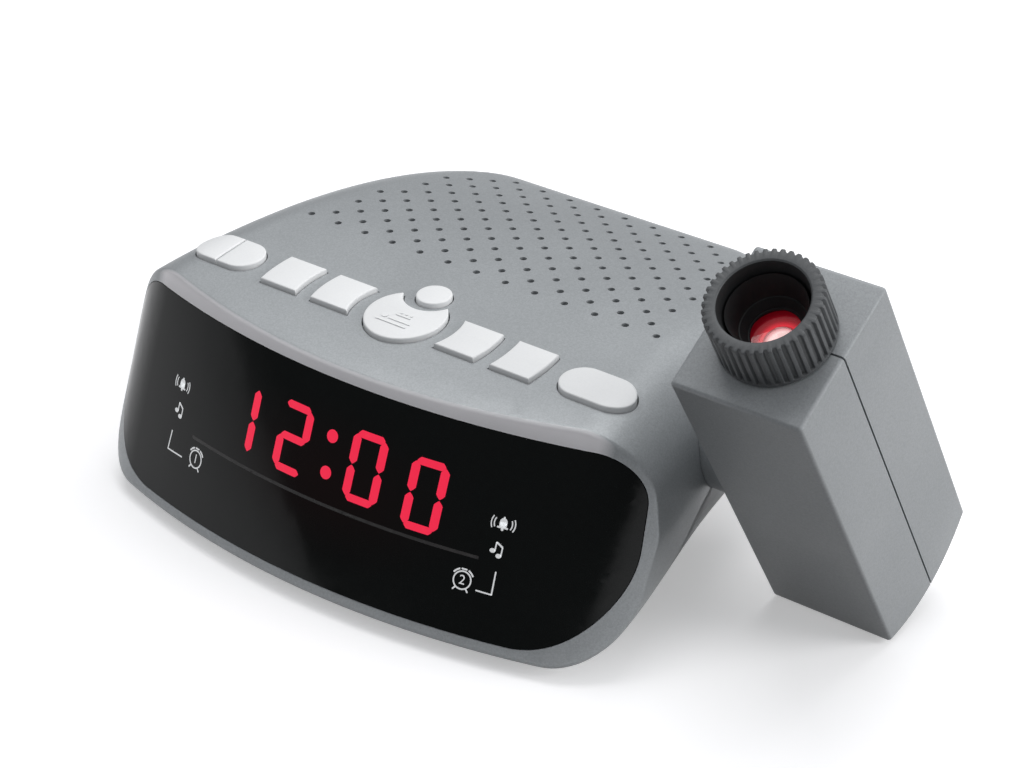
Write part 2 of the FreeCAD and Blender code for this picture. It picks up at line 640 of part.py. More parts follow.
def make_bottom_case():
    """The lower shell with its tongue, its towers and the battery bay."""
    shell = case_wall.cut(above_seam_wide.fuse(front_zone_wide))
    shell = shell.cut(hinge_hole)
    behind = behind_face(FRAME_DEPTH + SEAM_GAP)
    core = case_block(WALL + FIT + TONGUE_T)
    tongue = case_block(WALL + FIT).cut(core).common(behind)
    tongue = tongue.common(box(-FAR, FAR, -FAR, FAR, SEAM_Z - TONGUE_ROOT, SEAM_Z + TONGUE_RISE))
    root = case_block(WALL - FIT).cut(core).common(behind)
    root = root.common(box(-FAR, FAR, -FAR, FAR, SEAM_Z - TONGUE_ROOT, SEAM_Z - SEAM_GAP / 2))
    towers = bosses(CASE_SCREWS, CASE_BOSS_R, 0, BOSS_MEET_Z)
    towers += bosses(MAIN_SCREWS, SMALL_BOSS_R, 0, MAIN_BOARD_Z)
    towers.append(saddle(0, SEAM_Z - SEAM_GAP / 2))
    towers.append(box(JACK_X - JACK_HALF[0], JACK_X + JACK_HALF[0], JACK_Y[0] + JACK_SHELF, REAR_Y, 0,
                      JACK_Z - JACK_HALF[1]))
    towers.append(box(-BAY_X - BAY_WALL, BAY_X + BAY_WALL, BAY_Y[0] - BAY_WALL, BAY_Y[1] + BAY_WALL, 0,
                      BAY_TOP + BAY_WALL))
    towers = [piece.common(case_inner) for piece in towers]
    lip = tongue.fuse(root).cut(hinge_hole)
    shell = shell.fuse([solid for piece in [lip] + towers for solid in piece.Solids])
    inner_floor = UNDERSIDE_Z + WALL
    cutters = [box(-BAY_X, BAY_X, BAY_Y[0], BAY_Y[1], 0, BAY_TOP)]
    reach = BAY_X + DOOR_PIN_REACH + DOOR_PIN_CLEAR
    cutters.append(bar(-reach, reach, DOOR_HINGE_Y, DOOR_HINGE_Z, DOOR_PIN_R + DOOR_PIN_CLEAR))
    cutters += bosses(CASE_SCREWS, SCREW_R + FIT, 0, SEAM_Z)
    cutters += bosses(CASE_SCREWS, SCREW_HEAD_R + FIT, 0, CASE_SCREW_SEAT_Z)
    cutters += bosses(MAIN_SCREWS, SMALL_SCREW_R + THREAD_CLEAR, MAIN_SCREW_TIP - AIR, MAIN_BOARD_Z + AIR)
    cutters += bosses(FEET, FOOT_R + FIT, 0, UNDERSIDE_Z + FOOT_SEAT)
    cutters.append(Part.makeCylinder(JACK_NOSE_R + FIT, FAR, V(JACK_X, REAR_Y - JACK_DEPTH, JACK_Z), Y_AXIS))
    for i in range(VENT_SLOTS):
        x = (i - (VENT_SLOTS - 1) / 2) * VENT_PITCH
        cutters.append(box(x - VENT_HALF, x + VENT_HALF, VENT_Y[0], VENT_Y[1], 0, inner_floor + VENT_HALF))
    return shell.cut(cutters)


nodes["top_case"] = make_top_case()
nodes["bottom_case"] = make_bottom_case()
nodes["display_window"] = window_prism(FIT).common(behind_face(0)).cut(behind_face(WINDOW_T - THREAD_CLEAR))
nodes["rubber_feet"] = Part.makeCompound(bosses(FEET, FOOT_R, 0, UNDERSIDE_Z + FOOT_SEAT))
nodes["case_screws"] = Part.makeCompound(
    [case_screw(x, y, CASE_SCREW_SEAT_Z, CASE_SCREW_TOP_Z, SCREW_R, SCREW_HEAD_R, SCREW_HEAD_H)
     for x, y in CASE_SCREWS])

# Keys and the board under them
dome_outside = under_dome(-KEY_PROUD)
dome_inside = under_dome(WALL + AIR)
case_outside = case_block(-KEY_PROUD)
case_inside = case_block(WALL + AIR)
for name, (plan, stem) in KEYS.items():
    if abs(stem[0]) > OUTER_KEY_R[1]:
        nodes[name] = make_key(plan, stem, case_outside, case_inside)
    else:
        nodes[name] = make_key(plan, stem, dome_outside, dome_inside)


def small_screws(places, head_z, top_z):
    """Several small screws as one node."""
    return Part.makeCompound(
        [case_screw(x, y, head_z, top_z, SMALL_SCREW_R, SMALL_HEAD_R, SMALL_HEAD_H) for x, y in places])


def with_screw_holes(board, places):
    """A level board with holes for its screws."""
    return board.cut(bosses(places, SMALL_SCREW_R + FIT, 0, APEX_Z))


def tact_switch(x, y):
    """A switch on the key board, with its plunger."""
    z = KEY_BOARD_Z + BOARD_T
    half = SWITCH_SIZE / 2
    body = box(x - half, x + half, y - half, y + half, z, z + SWITCH_H)
    return body.fuse(rod(x, y, z + SWITCH_H, z + SWITCH_H + SWITCH_PLUNGER_H, SWITCH_PLUNGER_R)).removeSplitter()


key_board = box(*KEY_BOARD_X, *KEY_BOARD_Y, KEY_BOARD_Z, KEY_BOARD_Z + BOARD_T)
nodes["key_board"] = with_screw_holes(key_board, KEY_BOARD_SCREWS)
nodes["key_board_screws"] = small_screws(KEY_BOARD_SCREWS, KEY_BOARD_Z, KEY_SCREW_TOP)
nodes["tact_switches"] = Part.makeCompound([tact_switch(x, y) for plan, (x, y) in KEYS.values()])


# Display
def display_block(half_x, depths, heights):
    """A block in the display's leaning frame, equally wide to both sides."""
    return box(-half_x, half_x, *depths, *heights)


def make_display_module():
    """The display's tray, open towards the window."""
    half_h = DISPLAY_HEIGHT / 2
    tray = display_block(DISPLAY_HALF, (DISPLAY_DEPTH, DISPLAY_BOARD_DEPTH), (-half_h, half_h))
    recess = display_block(DISPLAY_HALF - DISPLAY_RIM, (0, DISPLAY_DEPTH + DISPLAY_RECESS),
                           (DISPLAY_RIM - half_h, half_h - DISPLAY_RIM))
    return tray.cut(recess)


def make_display_face():
    """The lit plate that lies in the tray."""
    edge = DISPLAY_RIM + FACE_PLATE_GAP
    half_h = DISPLAY_HEIGHT / 2 - edge
    depths = (DISPLAY_DEPTH + FACE_PLATE_SINK, DISPLAY_DEPTH + DISPLAY_RECESS)
    return display_block(DISPLAY_HALF - edge, depths, (-half_h, half_h))


def light_guide(side):
    """The block that carries light to the icons on one side."""
    near, far = sorted((side * GUIDE_X[0], side * GUIDE_X[1]))
    return box(near, far, GUIDE_DEPTH, DISPLAY_BOARD_DEPTH, *GUIDE_H)


def display_screw(x, h):
    """A screw from behind the display board into its post."""
    seat = DISPLAY_BOARD_DEPTH + BOARD_T
    shank = along_depth(x, h, DISPLAY_BOARD_DEPTH - DISPLAY_SCREW_BITE, seat, SMALL_SCREW_R)
    return shank.fuse(along_depth(x, h, seat, seat + SMALL_HEAD_H, SMALL_HEAD_R)).removeSplitter()


display_board = display_block(DISPLAY_BOARD_HALF, (DISPLAY_BOARD_DEPTH, DISPLAY_BOARD_DEPTH + BOARD_T),
                              DISPLAY_BOARD_H)
display_board = display_board.cut([along_depth(x, h, 0, FAR, SMALL_SCREW_R + FIT) for x, h in DISPLAY_SCREWS])
nodes["display_module"] = lean_place(make_display_module())
nodes["display_face"] = lean_place(make_display_face())
nodes["icon_light_guides"] = Part.makeCompound([lean_place(light_guide(side)) for side in (-1, 1)])
nodes["display_board"] = lean_place(display_board)
nodes["display_board_screws"] = Part.makeCompound([lean_place(display_screw(x, h)) for x, h in DISPLAY_SCREWS])


# Main board and what it carries
def on_board(x0, x1, y0, y1, height):
    """A block that stands on the main board."""
    return box(x0, x1, y0, y1, MAIN_TOP, MAIN_TOP + height)


def main_screw(x, y):
    """A screw whose head lies on the main board."""
    shank = rod(x, y, MAIN_SCREW_TIP, MAIN_TOP, SMALL_SCREW_R)
    return shank.fuse(rod(x, y, MAIN_TOP, MAIN_TOP + SMALL_HEAD_H, SMALL_HEAD_R)).removeSplitter()


main_board = box(-MAIN_X, MAIN_X, *MAIN_Y, MAIN_BOARD_Z, MAIN_TOP)
nodes["main_board"] = with_screw_holes(main_board, MAIN_SCREWS)
nodes["main_board_screws"] = Part.makeCompound([main_screw(x, y) for x, y in MAIN_SCREWS])
nodes["main_chip"] = on_board(*MAIN_CHIP)
nodes["capacitors"] = Part.makeCompound([rod(x, y, MAIN_TOP, MAIN_TOP + h, r) for x, y, h, r in CAPACITORS])
nodes["tuner_can"] = on_board(*TUNER_CAN)
nodes["board_connectors"] = Part.makeCompound([on_board(*block) for block in CONNECTORS])

# Speaker
flange_low = SPEAKER_TOP - SPEAKER_FLANGE_T
sheet_z = MAGNET_TOP + SPEAKER_SHEET_T
cone_hole_r = CONE_R - SPEAKER_SHEET_T + FIT
nodes["speaker_frame"] = revolve(
    [(SPEAKER_R, SPEAKER_TOP), (SPEAKER_R, flange_low), (SPEAKER_SEAT_R[0], flange_low),
     (SPEAKER_FOOT_R, sheet_z), (SPEAKER_FOOT_R, MAGNET_TOP), (THROAT_R, MAGNET_TOP), (THROAT_R, sheet_z),
     (SPEAKER_FOOT_R - SPEAKER_SHEET_T, sheet_z), (cone_hole_r, CONE_SEAT_Z - SPEAKER_SHEET_T / 2),
     (cone_hole_r, CONE_SEAT_Z), (CONE_R + FIT, CONE_SEAT_Z), (CONE_R + FIT, SPEAKER_TOP)], 0, SPEAKER_Y)
nodes["speaker_cone"] = revolve(
    [(CONE_R, CONE_TOP), (CONE_R, CONE_SEAT_Z), (CONE_FOLD_R, CONE_SEAT_Z), (COIL_R[1], COIL_Z[1]),
     (COIL_R[1], COIL_Z[0]), (COIL_R[0], COIL_Z[0]), (COIL_R[0], COIL_Z[1]), (0, DUST_CAP_Z[0]),
     (0, DUST_CAP_Z[1]), (COIL_R[1], COIL_Z[1] + FIT + CONE_TOP - CONE_SEAT_Z), (CONE_FOLD_R, CONE_TOP)],
    0, SPEAKER_Y)
magnet = rod(0, SPEAKER_Y, MAGNET_TOP - MAGNET_H, MAGNET_TOP, MAGNET_R)
nodes["speaker_magnet"] = magnet.fuse(rod(0, SPEAKER_Y, MAGNET_TOP, MAGNET_TOP + POLE_H, POLE_R)).removeSplitter()
nodes["speaker_screws"] = Part.makeCompound(
    [case_screw(x, y, flange_low, SPEAKER_SCREW_TOP, SMALL_SCREW_R, SPEAKER_HEAD_R, SMALL_HEAD_H)
     for x, y in speaker_screw_places])


# Backup cells in their bay
def backup_cell(y, side):
    """A cell along X whose nub points to one side."""
    body_end = CELL_HALF - CELL_NUB
    ends = sorted((-side * CELL_HALF, side * body_end))
    nub = sorted((side * body_end, side * CELL_HALF))
    return bar(*ends, y, CELL_Z, CELL_R).fuse(bar(*nub, y, CELL_Z, CELL_NUB_R)).removeSplitter()


def contact(y, side):
    """A contact plate on the bay's end wall, with its spring."""
    plate = sorted((side * (BAY_X - CONTACT_T), side * BAY_X))
    spring = sorted((side * CELL_HALF, side * (BAY_X - CONTACT_T)))
    sheet = box(*plate, y - CONTACT_HALF, y + CONTACT_HALF, UNDERSIDE_Z + CONTACT_RISE, BAY_TOP)
    return sheet.fuse(bar(*spring, y, CELL_Z, CELL_NUB_R + CONTACT_T)).removeSplitter()


nodes["backup_cells"] = Part.makeCompound([backup_cell(y, side) for y, side in zip(CELL_Y, (1, -1))])
nodes["battery_contacts"] = Part.makeCompound([contact(y, side) for side in (-1, 1) for y in CELL_Y])
door_half = BAY_X - AIR
pin_half = BAY_X + DOOR_PIN_REACH
door = box(-door_half, door_half, DOOR_HINGE_Y, BAY_Y[1] - AIR, UNDERSIDE_Z, UNDERSIDE_Z + DOOR_T)
door = door.fuse([bar(-door_half, door_half, DOOR_HINGE_Y, DOOR_HINGE_Z, DOOR_T / 2),
                  bar(-pin_half, pin_half, DOOR_HINGE_Y, DOOR_HINGE_Z, DOOR_PIN_R)])
finger_notch = rod(0, BAY_Y[1] + NOTCH_BACK, 0, UNDERSIDE_Z + NOTCH_DEPTH, NOTCH_R)
nodes["battery_door"] = door.cut(finger_notch).removeSplitter()


# Power socket in the rear wall
def jack_rod(y0, y1, r):
    """A cylinder along Y on the socket's axis."""
    return Part.makeCylinder(r, y1 - y0, V(JACK_X, y0, JACK_Z), Y_AXIS)


socket = box(JACK_X - JACK_HALF[0], JACK_X + JACK_HALF[0], *JACK_Y, JACK_Z - JACK_HALF[1], JACK_Z + JACK_HALF[1])
socket = socket.fuse(jack_rod(JACK_Y[0], REAR_FACE, JACK_NOSE_R))
nodes["dc_socket"] = socket.cut(jack_rod(REAR_FACE - JACK_DEPTH, REAR_Y, JACK_R)).removeSplitter()
nodes["dc_socket_pin"] = jack_rod(REAR_FACE - JACK_DEPTH, REAR_FACE - JACK_DEPTH + JACK_PIN_L, JACK_PIN_R)


# Pivot between the case and the arm
def pivot_rod(ends, r):
    """A cylinder on the pivot's axis."""
    return bar(*ends, 0, 0, r)


flange_x = ARM_INNER_X + ARM_WALL
shaft_hole = pivot_rod((0, FAR), SHAFT_R + SHAFT_CLEAR)
groove = pivot_rod(BUSH_GROOVE_X, BUSH_R + FIT).cut(pivot_rod(BUSH_GROOVE_X, BUSH_GROOVE_R))
bush = pivot_rod((BUSH_INNER_X, ARM_INNER_X - BUSH_GAP), BUSH_R).cut([groove, shaft_hole])
nodes["pivot_bush"] = arm_place(bush)
shaft = pivot_rod((SHAFT_INNER_X, flange_x + SHAFT_FLANGE_T), SHAFT_R)
shaft = shaft.fuse(pivot_rod((flange_x, flange_x + SHAFT_FLANGE_T), SHAFT_FLANGE_R))
clip_seat = pivot_rod(CLIP_X, SHAFT_R + FIT).cut(pivot_rod(CLIP_X, CLIP_SEAT_R))
nodes["pivot_shaft"] = arm_place(shaft.cut([pivot_rod((0, FAR), SHAFT_BORE_R), clip_seat]).removeSplitter())
nodes["pivot_washer"] = arm_place(pivot_rod(WASHER_X, WASHER_R).cut(shaft_hole))
clip = pivot_rod(CLIP_X, CLIP_R).cut(pivot_rod(CLIP_X, CLIP_SEAT_R + THREAD_CLEAR))
nodes["pivot_clip"] = arm_place(clip.cut(box(0, FAR, -CLIP_OPENING_HALF, CLIP_OPENING_HALF, -CLIP_R, 0)))


# Projector arm
def arm_block(inset):
    """The arm's form, upright about the pivot, drawn in by inset."""
    x0 = ARM_INNER_X + inset
    x1 = ARM_INNER_X + ARM_WIDTH - inset
    half = ARM_DEPTH / 2 - inset
    end = box(x0, x1, -half, half, -ARM_END_R, 0).common(bar(x0, x1, 0, 0, ARM_END_R - inset))
    return end.fuse(box(x0, x1, -half, half, 0, ARM_TOP - inset)).removeSplitter()


def across_arm(x, z, y0, y1, r):
    """A cylinder along Y through the arm."""
    return Part.makeCylinder(r, y1 - y0, V(x, y0, z), Y_AXIS)


def lens_rod(z0, z1, r):
    """A cylinder on the lens axis."""
    return rod(LENS_X, 0, z0, z1, r)


def lens_box(half, z0, z1):
    """A square block on the lens axis."""
    return box(LENS_X - half, LENS_X + half, -half, half, z0, z1)


arm_outer = arm_block(0)
arm_outer = arm_outer.makeFillet(ARM_EDGE_R, arm_outer.Edges)
arm_wall = arm_outer.cut(arm_block(ARM_WALL))
arm_side = {-1: box(0, FAR, -FAR, -ARM_SEAM / 2, -FAR, FAR), 1: box(0, FAR, ARM_SEAM / 2, FAR, -FAR, FAR)}
snap_z = ARM_TOP - ARM_WALL - AIR
snap_low = snap_z - RING_SNAP_T
arm_holes = [pivot_rod((0, flange_x), SHAFT_R + FIT), lens_rod(snap_low, ARM_TOP, RING_NECK_R + AIR)]


def arm_half(side):
    """The walls, screw bosses and clamping ribs of one half; side is -1 in front and 1 behind."""
    wall_y = side * (ARM_DEPTH / 2 - ARM_WALL / 2)
    low, high = sorted((side * ARM_SEAM / 2, wall_y))
    pieces = [across_arm(x, z, low, high, ARM_BOSS_R) for x, z in ARM_SCREWS]
    low, high = sorted((side * TUNNEL_HALF, wall_y))
    pieces += [box(LENS_X - CLAMP_HALF, LENS_X + CLAMP_HALF, low, high, *heights) for heights in CLAMP_Z]
    return arm_wall.common(arm_side[side]).fuse(pieces)


def make_arm_front():
    """The front half, with pilot holes for the screws."""
    small = SMALL_SCREW_R + THREAD_CLEAR
    pilots = [across_arm(x, z, ARM_SCREW_TIP_Y - AIR, 0, small) for x, z in ARM_SCREWS]
    return arm_half(-1).cut(pilots).cut(arm_holes)


def make_arm_lip():
    """The lip inside the rear half that centres the front half on it."""
    core = arm_block(ARM_WALL + FIT + TONGUE_T)
    tongue = arm_block(ARM_WALL + FIT).cut(core).common(box(0, FAR, -TONGUE_RISE, ARM_ROOT_Y, -FAR, FAR))
    root = arm_block(ARM_WALL - FIT).cut(core).common(box(0, FAR, ARM_SEAM / 2, ARM_ROOT_Y, -FAR, FAR))
    clear = [across_arm(x, z, -ARM_DEPTH, -ARM_SEAM / 2, ARM_BOSS_R + FIT) for x, z in ARM_SCREWS]
    clear.append(pivot_rod((ARM_INNER_X, flange_x + SHAFT_FLANGE_T + AIR), SHAFT_FLANGE_R + FIT))
    clear.append(lens_rod(0, ARM_TOP - ARM_WALL, RING_SNAP_R + AIR))
    return tongue.fuse(root).cut(clear)


def make_arm_rear():
    """The rear half, with its lip and the holes that the screws pass through."""
    half = arm_half(1).fuse(make_arm_lip())
    back = ARM_DEPTH / 2
    holes = [across_arm(x, z, 0, back, SMALL_SCREW_R + FIT) for x, z in ARM_SCREWS]
    holes += [across_arm(x, z, back - ARM_HEAD_SINK, FAR, SMALL_HEAD_R + FIT) for x, z in ARM_SCREWS]
    return half.cut(holes).cut(arm_holes)


def arm_screw(x, z):
    """A screw from the arm's rear, its head sunk below the surface."""
    seat = ARM_DEPTH / 2 - ARM_HEAD_SINK
    shank = across_arm(x, z, ARM_SCREW_TIP_Y, seat, SMALL_SCREW_R)
    return shank.fuse(across_arm(x, z, seat, seat + SMALL_HEAD_H, SMALL_HEAD_R)).removeSplitter()


nodes["arm_front_shell"] = arm_place(make_arm_front())
nodes["arm_rear_shell"] = arm_place(make_arm_rear())
nodes["arm_screws"] = Part.makeCompound([arm_place(arm_screw(x, z)) for x, z in ARM_SCREWS])


# Focus ring and the lens that it moves
def make_focus_ring():
    """The ribbed ring with its neck and the bead that holds it in the arm."""
    low = ARM_TOP + RING_GAP
    high = low + RING_H
    ring = lens_rod(low, high, RING_R)
    groove_half = math.pi * RING_R / RING_RIBS / 2
    notches = []
    for i in range(RING_RIBS):
        notch = box(RING_R - RING_RIB_DEPTH, RING_R + FIT, -groove_half, groove_half, low + RING_LIP, high - RING_LIP)
        notch.rotate(V(0, 0, 0), Z_AXIS, 360 / RING_RIBS * i)
        notch.translate(V(LENS_X, 0, 0))
        notches.append(notch)
    ring = ring.cut(Part.makeCompound(notches))
    ring = ring.fuse([lens_rod(snap_z, low, RING_NECK_R), lens_rod(snap_low, snap_z, RING_SNAP_R)])
    return ring.cut(lens_rod(0, high, RING_BORE_R)).removeSplitter()


def make_lens_carrier():
    """The tube that holds the lens and slides on the prongs of the light tunnel."""
    tube_body = lens_rod(CARRIER_Z, CARRIER_Z + CARRIER_H, CARRIER_R)
    bores = [lens_rod(LENS_SEAT_Z, FAR, CARRIER_BORE_R), lens_rod(0, FAR, CARRIER_BORE_R - LENS_LEDGE)]
    slot_half = PRONG_HALF + AIR
    slot = box(LENS_X - CARRIER_R, LENS_X + CARRIER_R, -slot_half, slot_half, 0, CARRIER_Z + CARRIER_SLOT_H)
    return tube_body.cut(bores).cut(slot)


def make_projection_lens():
    """A lens with a flat back and a domed front."""
    bow = (LENS_R ** 2 + (LENS_T / 2) ** 2) / LENS_T
    dome = Part.makeSphere(bow, V(LENS_X, 0, LENS_SEAT_Z + LENS_T - bow))
    return lens_rod(LENS_SEAT_Z, LENS_SEAT_Z + LENS_T, LENS_R).common(dome)


nodes["focus_ring"] = arm_place(make_focus_ring())
nodes["lens_carrier"] = arm_place(make_lens_carrier())
nodes["projection_lens"] = arm_place(make_projection_lens())


# Light path inside the arm
def make_light_tunnel():
    """The square tunnel that holds lamp, condenser and slide, with two prongs that guide the lens carrier."""
    low, high = TUNNEL_Z
    tunnel = lens_box(TUNNEL_HALF, low, high)
    for side in (-1, 1):
        ends = sorted((LENS_X + side * PRONG_X[0], LENS_X + side * PRONG_X[1]))
        tunnel = tunnel.fuse(box(*ends, -PRONG_HALF, PRONG_HALF, high - BOARD_T, PRONG_TOP))
    spaces = [lens_box(TUNNEL_HALF - TUNNEL_T, SLIDE_Z, FAR), lens_rod(CONDENSER_Z, SLIDE_Z + SLIDE_T, CONDENSER_R),
              lens_box(LAMP_WELL_HALF, low, CONDENSER_Z)]
    return tunnel.cut(spaces).removeSplitter()


lamp_low = TUNNEL_Z[0]
lamp_dome = Part.makeSphere(LAMP_R, V(LENS_X, 0, lamp_low + LAMP_H))
condenser_top = CONDENSER_Z + CONDENSER_T
condenser_bow = Part.makeSphere(CONDENSER_BOW_R, V(LENS_X, 0, condenser_top - CONDENSER_BOW_R))
condenser = lens_rod(CONDENSER_Z, condenser_top, CONDENSER_R - SEAT_CLEAR).common(condenser_bow)
nodes["light_tunnel"] = arm_place(make_light_tunnel())
nodes["slide_display"] = arm_place(lens_box(TUNNEL_HALF - TUNNEL_T - SEAT_CLEAR, SLIDE_Z, SLIDE_Z + SLIDE_T))
nodes["condenser_lens"] = arm_place(condenser)
nodes["projector_lamp"] = arm_place(lens_rod(lamp_low, lamp_low + LAMP_H, LAMP_R).fuse(lamp_dome).removeSplitter())
nodes["lamp_board"] = arm_place(lens_box(TUNNEL_HALF, lamp_low - BOARD_T, lamp_low))

# Origin under the middle of the whole clock
whole = FreeCAD.BoundBox()
for name in ("top_case", "arm_front_shell", "arm_rear_shell", "bottom_case"):
    whole.add(nodes[name].optimalBoundingBox(False, False))
shift = V(-(whole.XMin + whole.XMax) / 2, -(whole.YMin + whole.YMax) / 2, 0)
for name, shape in nodes.items():
    shape.translate(shift)
    shape.exportStep("parts/%s.step" % name)
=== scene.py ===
# %% [markdown]
# # A projection alarm clock
#
# This clock has a silver case with a curved top, a black display window that leans back, nine keys, a
# speaker grille, and a projector arm that swivels at its right side.
#
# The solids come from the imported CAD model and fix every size. This lesson dresses them. A solid whose
# form is already right is copied, cleaned and given a finish. A piece that needs more detail than the
# solid has, such as the ribbed ring or the lit digits, is modelled here by hand and replaces it.

# %% Load the frame
import json
import math

import bpy
from mathutils import Matrix, Vector

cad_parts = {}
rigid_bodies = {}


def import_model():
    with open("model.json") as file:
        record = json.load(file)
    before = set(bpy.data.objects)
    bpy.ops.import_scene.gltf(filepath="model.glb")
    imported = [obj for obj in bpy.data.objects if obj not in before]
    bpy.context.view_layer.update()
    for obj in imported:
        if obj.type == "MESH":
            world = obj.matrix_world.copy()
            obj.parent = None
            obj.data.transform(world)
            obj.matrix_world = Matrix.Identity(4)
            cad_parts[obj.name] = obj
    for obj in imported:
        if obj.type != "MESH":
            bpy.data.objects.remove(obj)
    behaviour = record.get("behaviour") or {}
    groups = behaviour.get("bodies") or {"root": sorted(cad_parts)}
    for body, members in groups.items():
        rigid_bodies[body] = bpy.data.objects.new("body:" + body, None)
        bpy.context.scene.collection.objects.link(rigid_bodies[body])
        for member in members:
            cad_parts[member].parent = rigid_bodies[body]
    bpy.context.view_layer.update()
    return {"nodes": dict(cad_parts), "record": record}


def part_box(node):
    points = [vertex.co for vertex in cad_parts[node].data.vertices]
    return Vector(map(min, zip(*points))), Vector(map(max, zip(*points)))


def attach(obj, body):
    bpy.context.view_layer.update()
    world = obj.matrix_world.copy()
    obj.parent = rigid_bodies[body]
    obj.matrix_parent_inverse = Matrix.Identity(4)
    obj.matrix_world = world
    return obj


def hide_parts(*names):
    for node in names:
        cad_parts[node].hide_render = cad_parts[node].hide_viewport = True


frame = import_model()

MM = 0.001
nodes = frame["nodes"]
print("CAD nodes:", len(nodes))

# %% [markdown]
# ## The clock's own measures
#
# Every place on this clock is easiest to tell by three measures: how far right of the case's middle, how far
# behind the front row of speaker holes, and how high above the table. Two solids give the start of these
# measures. The upper case is symmetrical, so its box gives the middle. The small round dimmer key stands
# 17 mm in front of the first row of holes, so its middle gives that row. A fixed number would do too, but it
# would be wrong as soon as the solids moved.

# %% Places read from the solids
case_low, case_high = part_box("top_case")
dimmer_low, dimmer_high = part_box("dimmer_key")
DIMMER_AHEAD = 17 * MM     # from the dimmer key's middle back to the first row of holes
MIDDLE_X = (case_low.x + case_high.x) / 2
ROW_Y = (dimmer_low.y + dimmer_high.y) / 2 + DIMMER_AHEAD


def place(x, y, z):
    """A point of the clock, from millimetres to the right, back and up."""
    return Vector((MIDDLE_X + x * MM, ROW_Y + y * MM, z * MM))


print("middle of the case", round(MIDDLE_X, 4), "front row", round(ROW_Y, 4))

# %% The bowed face and the tilted arm
FACE_LEAN = math.radians(20.8)    # the face leans back
FACE_R = 230.0                    # its bow from left to right, in millimetres
FACE_TOP_Y = -50.0                # its upper edge in the middle
FACE_TOP_Z = 61.0
ARM_TILT = math.radians(32)       # the arm's turn from upright, towards the back
PIVOT = place(107.5, -2.4, 42.8)  # on the pivot, in line with the lens


def arm_place():
    """From the arm's upright drawing, about the lens axis at the pivot, to its tilted place."""
    return Matrix.Translation(PIVOT) @ Matrix.Rotation(ARM_TILT, 4, "X")


print("pivot", tuple(round(value, 4) for value in PIVOT))

# %% [markdown]
# ## Helpers for modelling by hand
#
# Every operator acts on what is selected, and loading the frame leaves its pieces selected. So each step
# begins with nothing selected, and faces are picked by where they are.

# %% Selecting
def deselect():
    """Leave edit mode and select nothing."""
    if bpy.context.object and bpy.context.object.mode != "OBJECT":
        bpy.ops.object.mode_set(mode="OBJECT")
    bpy.ops.object.select_all(action="DESELECT")


def work_on(obj):
    """Select one piece alone and make it active."""
    deselect()
    obj.select_set(True)
    bpy.context.view_layer.objects.active = obj


def edit(obj, mode="FACE"):
    """Open a piece for editing with nothing in it selected."""
    work_on(obj)
    bpy.ops.object.mode_set(mode="EDIT")
    bpy.ops.mesh.select_mode(type=mode)
    bpy.ops.mesh.select_all(action="DESELECT")
    bpy.ops.object.mode_set(mode="OBJECT")


def pick(obj, rule, kind="FACE"):
    """In edit mode, select the faces, edges or vertices that the rule accepts, and nothing else."""
    edit(obj, kind)
    mesh = obj.data
    if kind == "FACE":
        chosen = [p for p in mesh.polygons if rule(p.center, p.normal)]
    elif kind == "EDGE":
        chosen = [e for e in mesh.edges
                  if rule((mesh.vertices[e.vertices[0]].co + mesh.vertices[e.vertices[1]].co) / 2,
                          mesh.vertices[e.vertices[1]].co - mesh.vertices[e.vertices[0]].co)]
    else:
        chosen = [v for v in mesh.vertices if rule(v.co, v.normal)]
    for item in chosen:
        item.select = True
    bpy.ops.object.mode_set(mode="EDIT")
    return len(chosen)


print("helpers for selecting ready")

# %% [markdown]
# ### Mesh work
#
# A finished piece has its place, turn and size in its mesh, and none on the object. Repeated forms are
# modelled once and copied. Round pieces, such as the ring and the lens insert, are turned: one circle is
# extruded and resized along the outline until it closes, as a lathe would follow it.

# %% Mesh helpers
def apply_all(obj):
    """Apply every modifier of a piece."""
    work_on(obj)
    for modifier in list(obj.modifiers):
        bpy.ops.object.modifier_apply(modifier=modifier.name)


def settle(obj):
    """Put a piece's place, turn and size into its mesh."""
    work_on(obj)
    bpy.ops.object.transform_apply(location=True, rotation=True, scale=True)


def move_mesh(obj, matrix):
    """Move a piece's mesh."""
    obj.data.transform(matrix)
    obj.data.update()


def duplicate(obj, name, matrix):
    """A copy with its own mesh, moved by a matrix."""
    work_on(obj)
    bpy.ops.object.duplicate()
    twin = bpy.context.object
    twin.name = name
    move_mesh(twin, matrix)
    return twin


def join(pieces, name):
    """Make several pieces one."""
    deselect()
    for piece in pieces:
        piece.select_set(True)
    bpy.context.view_layer.objects.active = pieces[0]
    if len(pieces) > 1:
        bpy.ops.object.join()
    pieces[0].name = name
    return pieces[0]


print("mesh helpers ready")

# %% Turned pieces
TURNED_MERGE = 0.005 * MM   # closer points of a turned outline are one


def turned(name, profile, steps):
    """Turn a closed outline of radii and heights about Z, by extruding and resizing one circle."""
    deselect()
    radius, height = profile[0]
    bpy.ops.mesh.primitive_circle_add(vertices=steps, radius=radius, location=(0, 0, height))
    piece = bpy.context.object
    piece.name = name
    settle(piece)
    bpy.ops.object.mode_set(mode="EDIT")
    bpy.ops.mesh.select_mode(type="EDGE")
    bpy.ops.mesh.select_all(action="SELECT")
    for next_radius, next_height in profile[1:] + profile[:1]:
        bpy.ops.mesh.extrude_region_move(TRANSFORM_OT_translate={"value": (0, 0, next_height - height)})
        share = next_radius / radius
        bpy.ops.transform.resize(value=(share, share, 1))
        radius, height = next_radius, next_height
    bpy.ops.mesh.select_all(action="SELECT")
    bpy.ops.mesh.remove_doubles(threshold=TURNED_MERGE)
    bpy.ops.mesh.normals_make_consistent(inside=False)
    bpy.ops.object.mode_set(mode="OBJECT")
    return piece


print("turning ready")

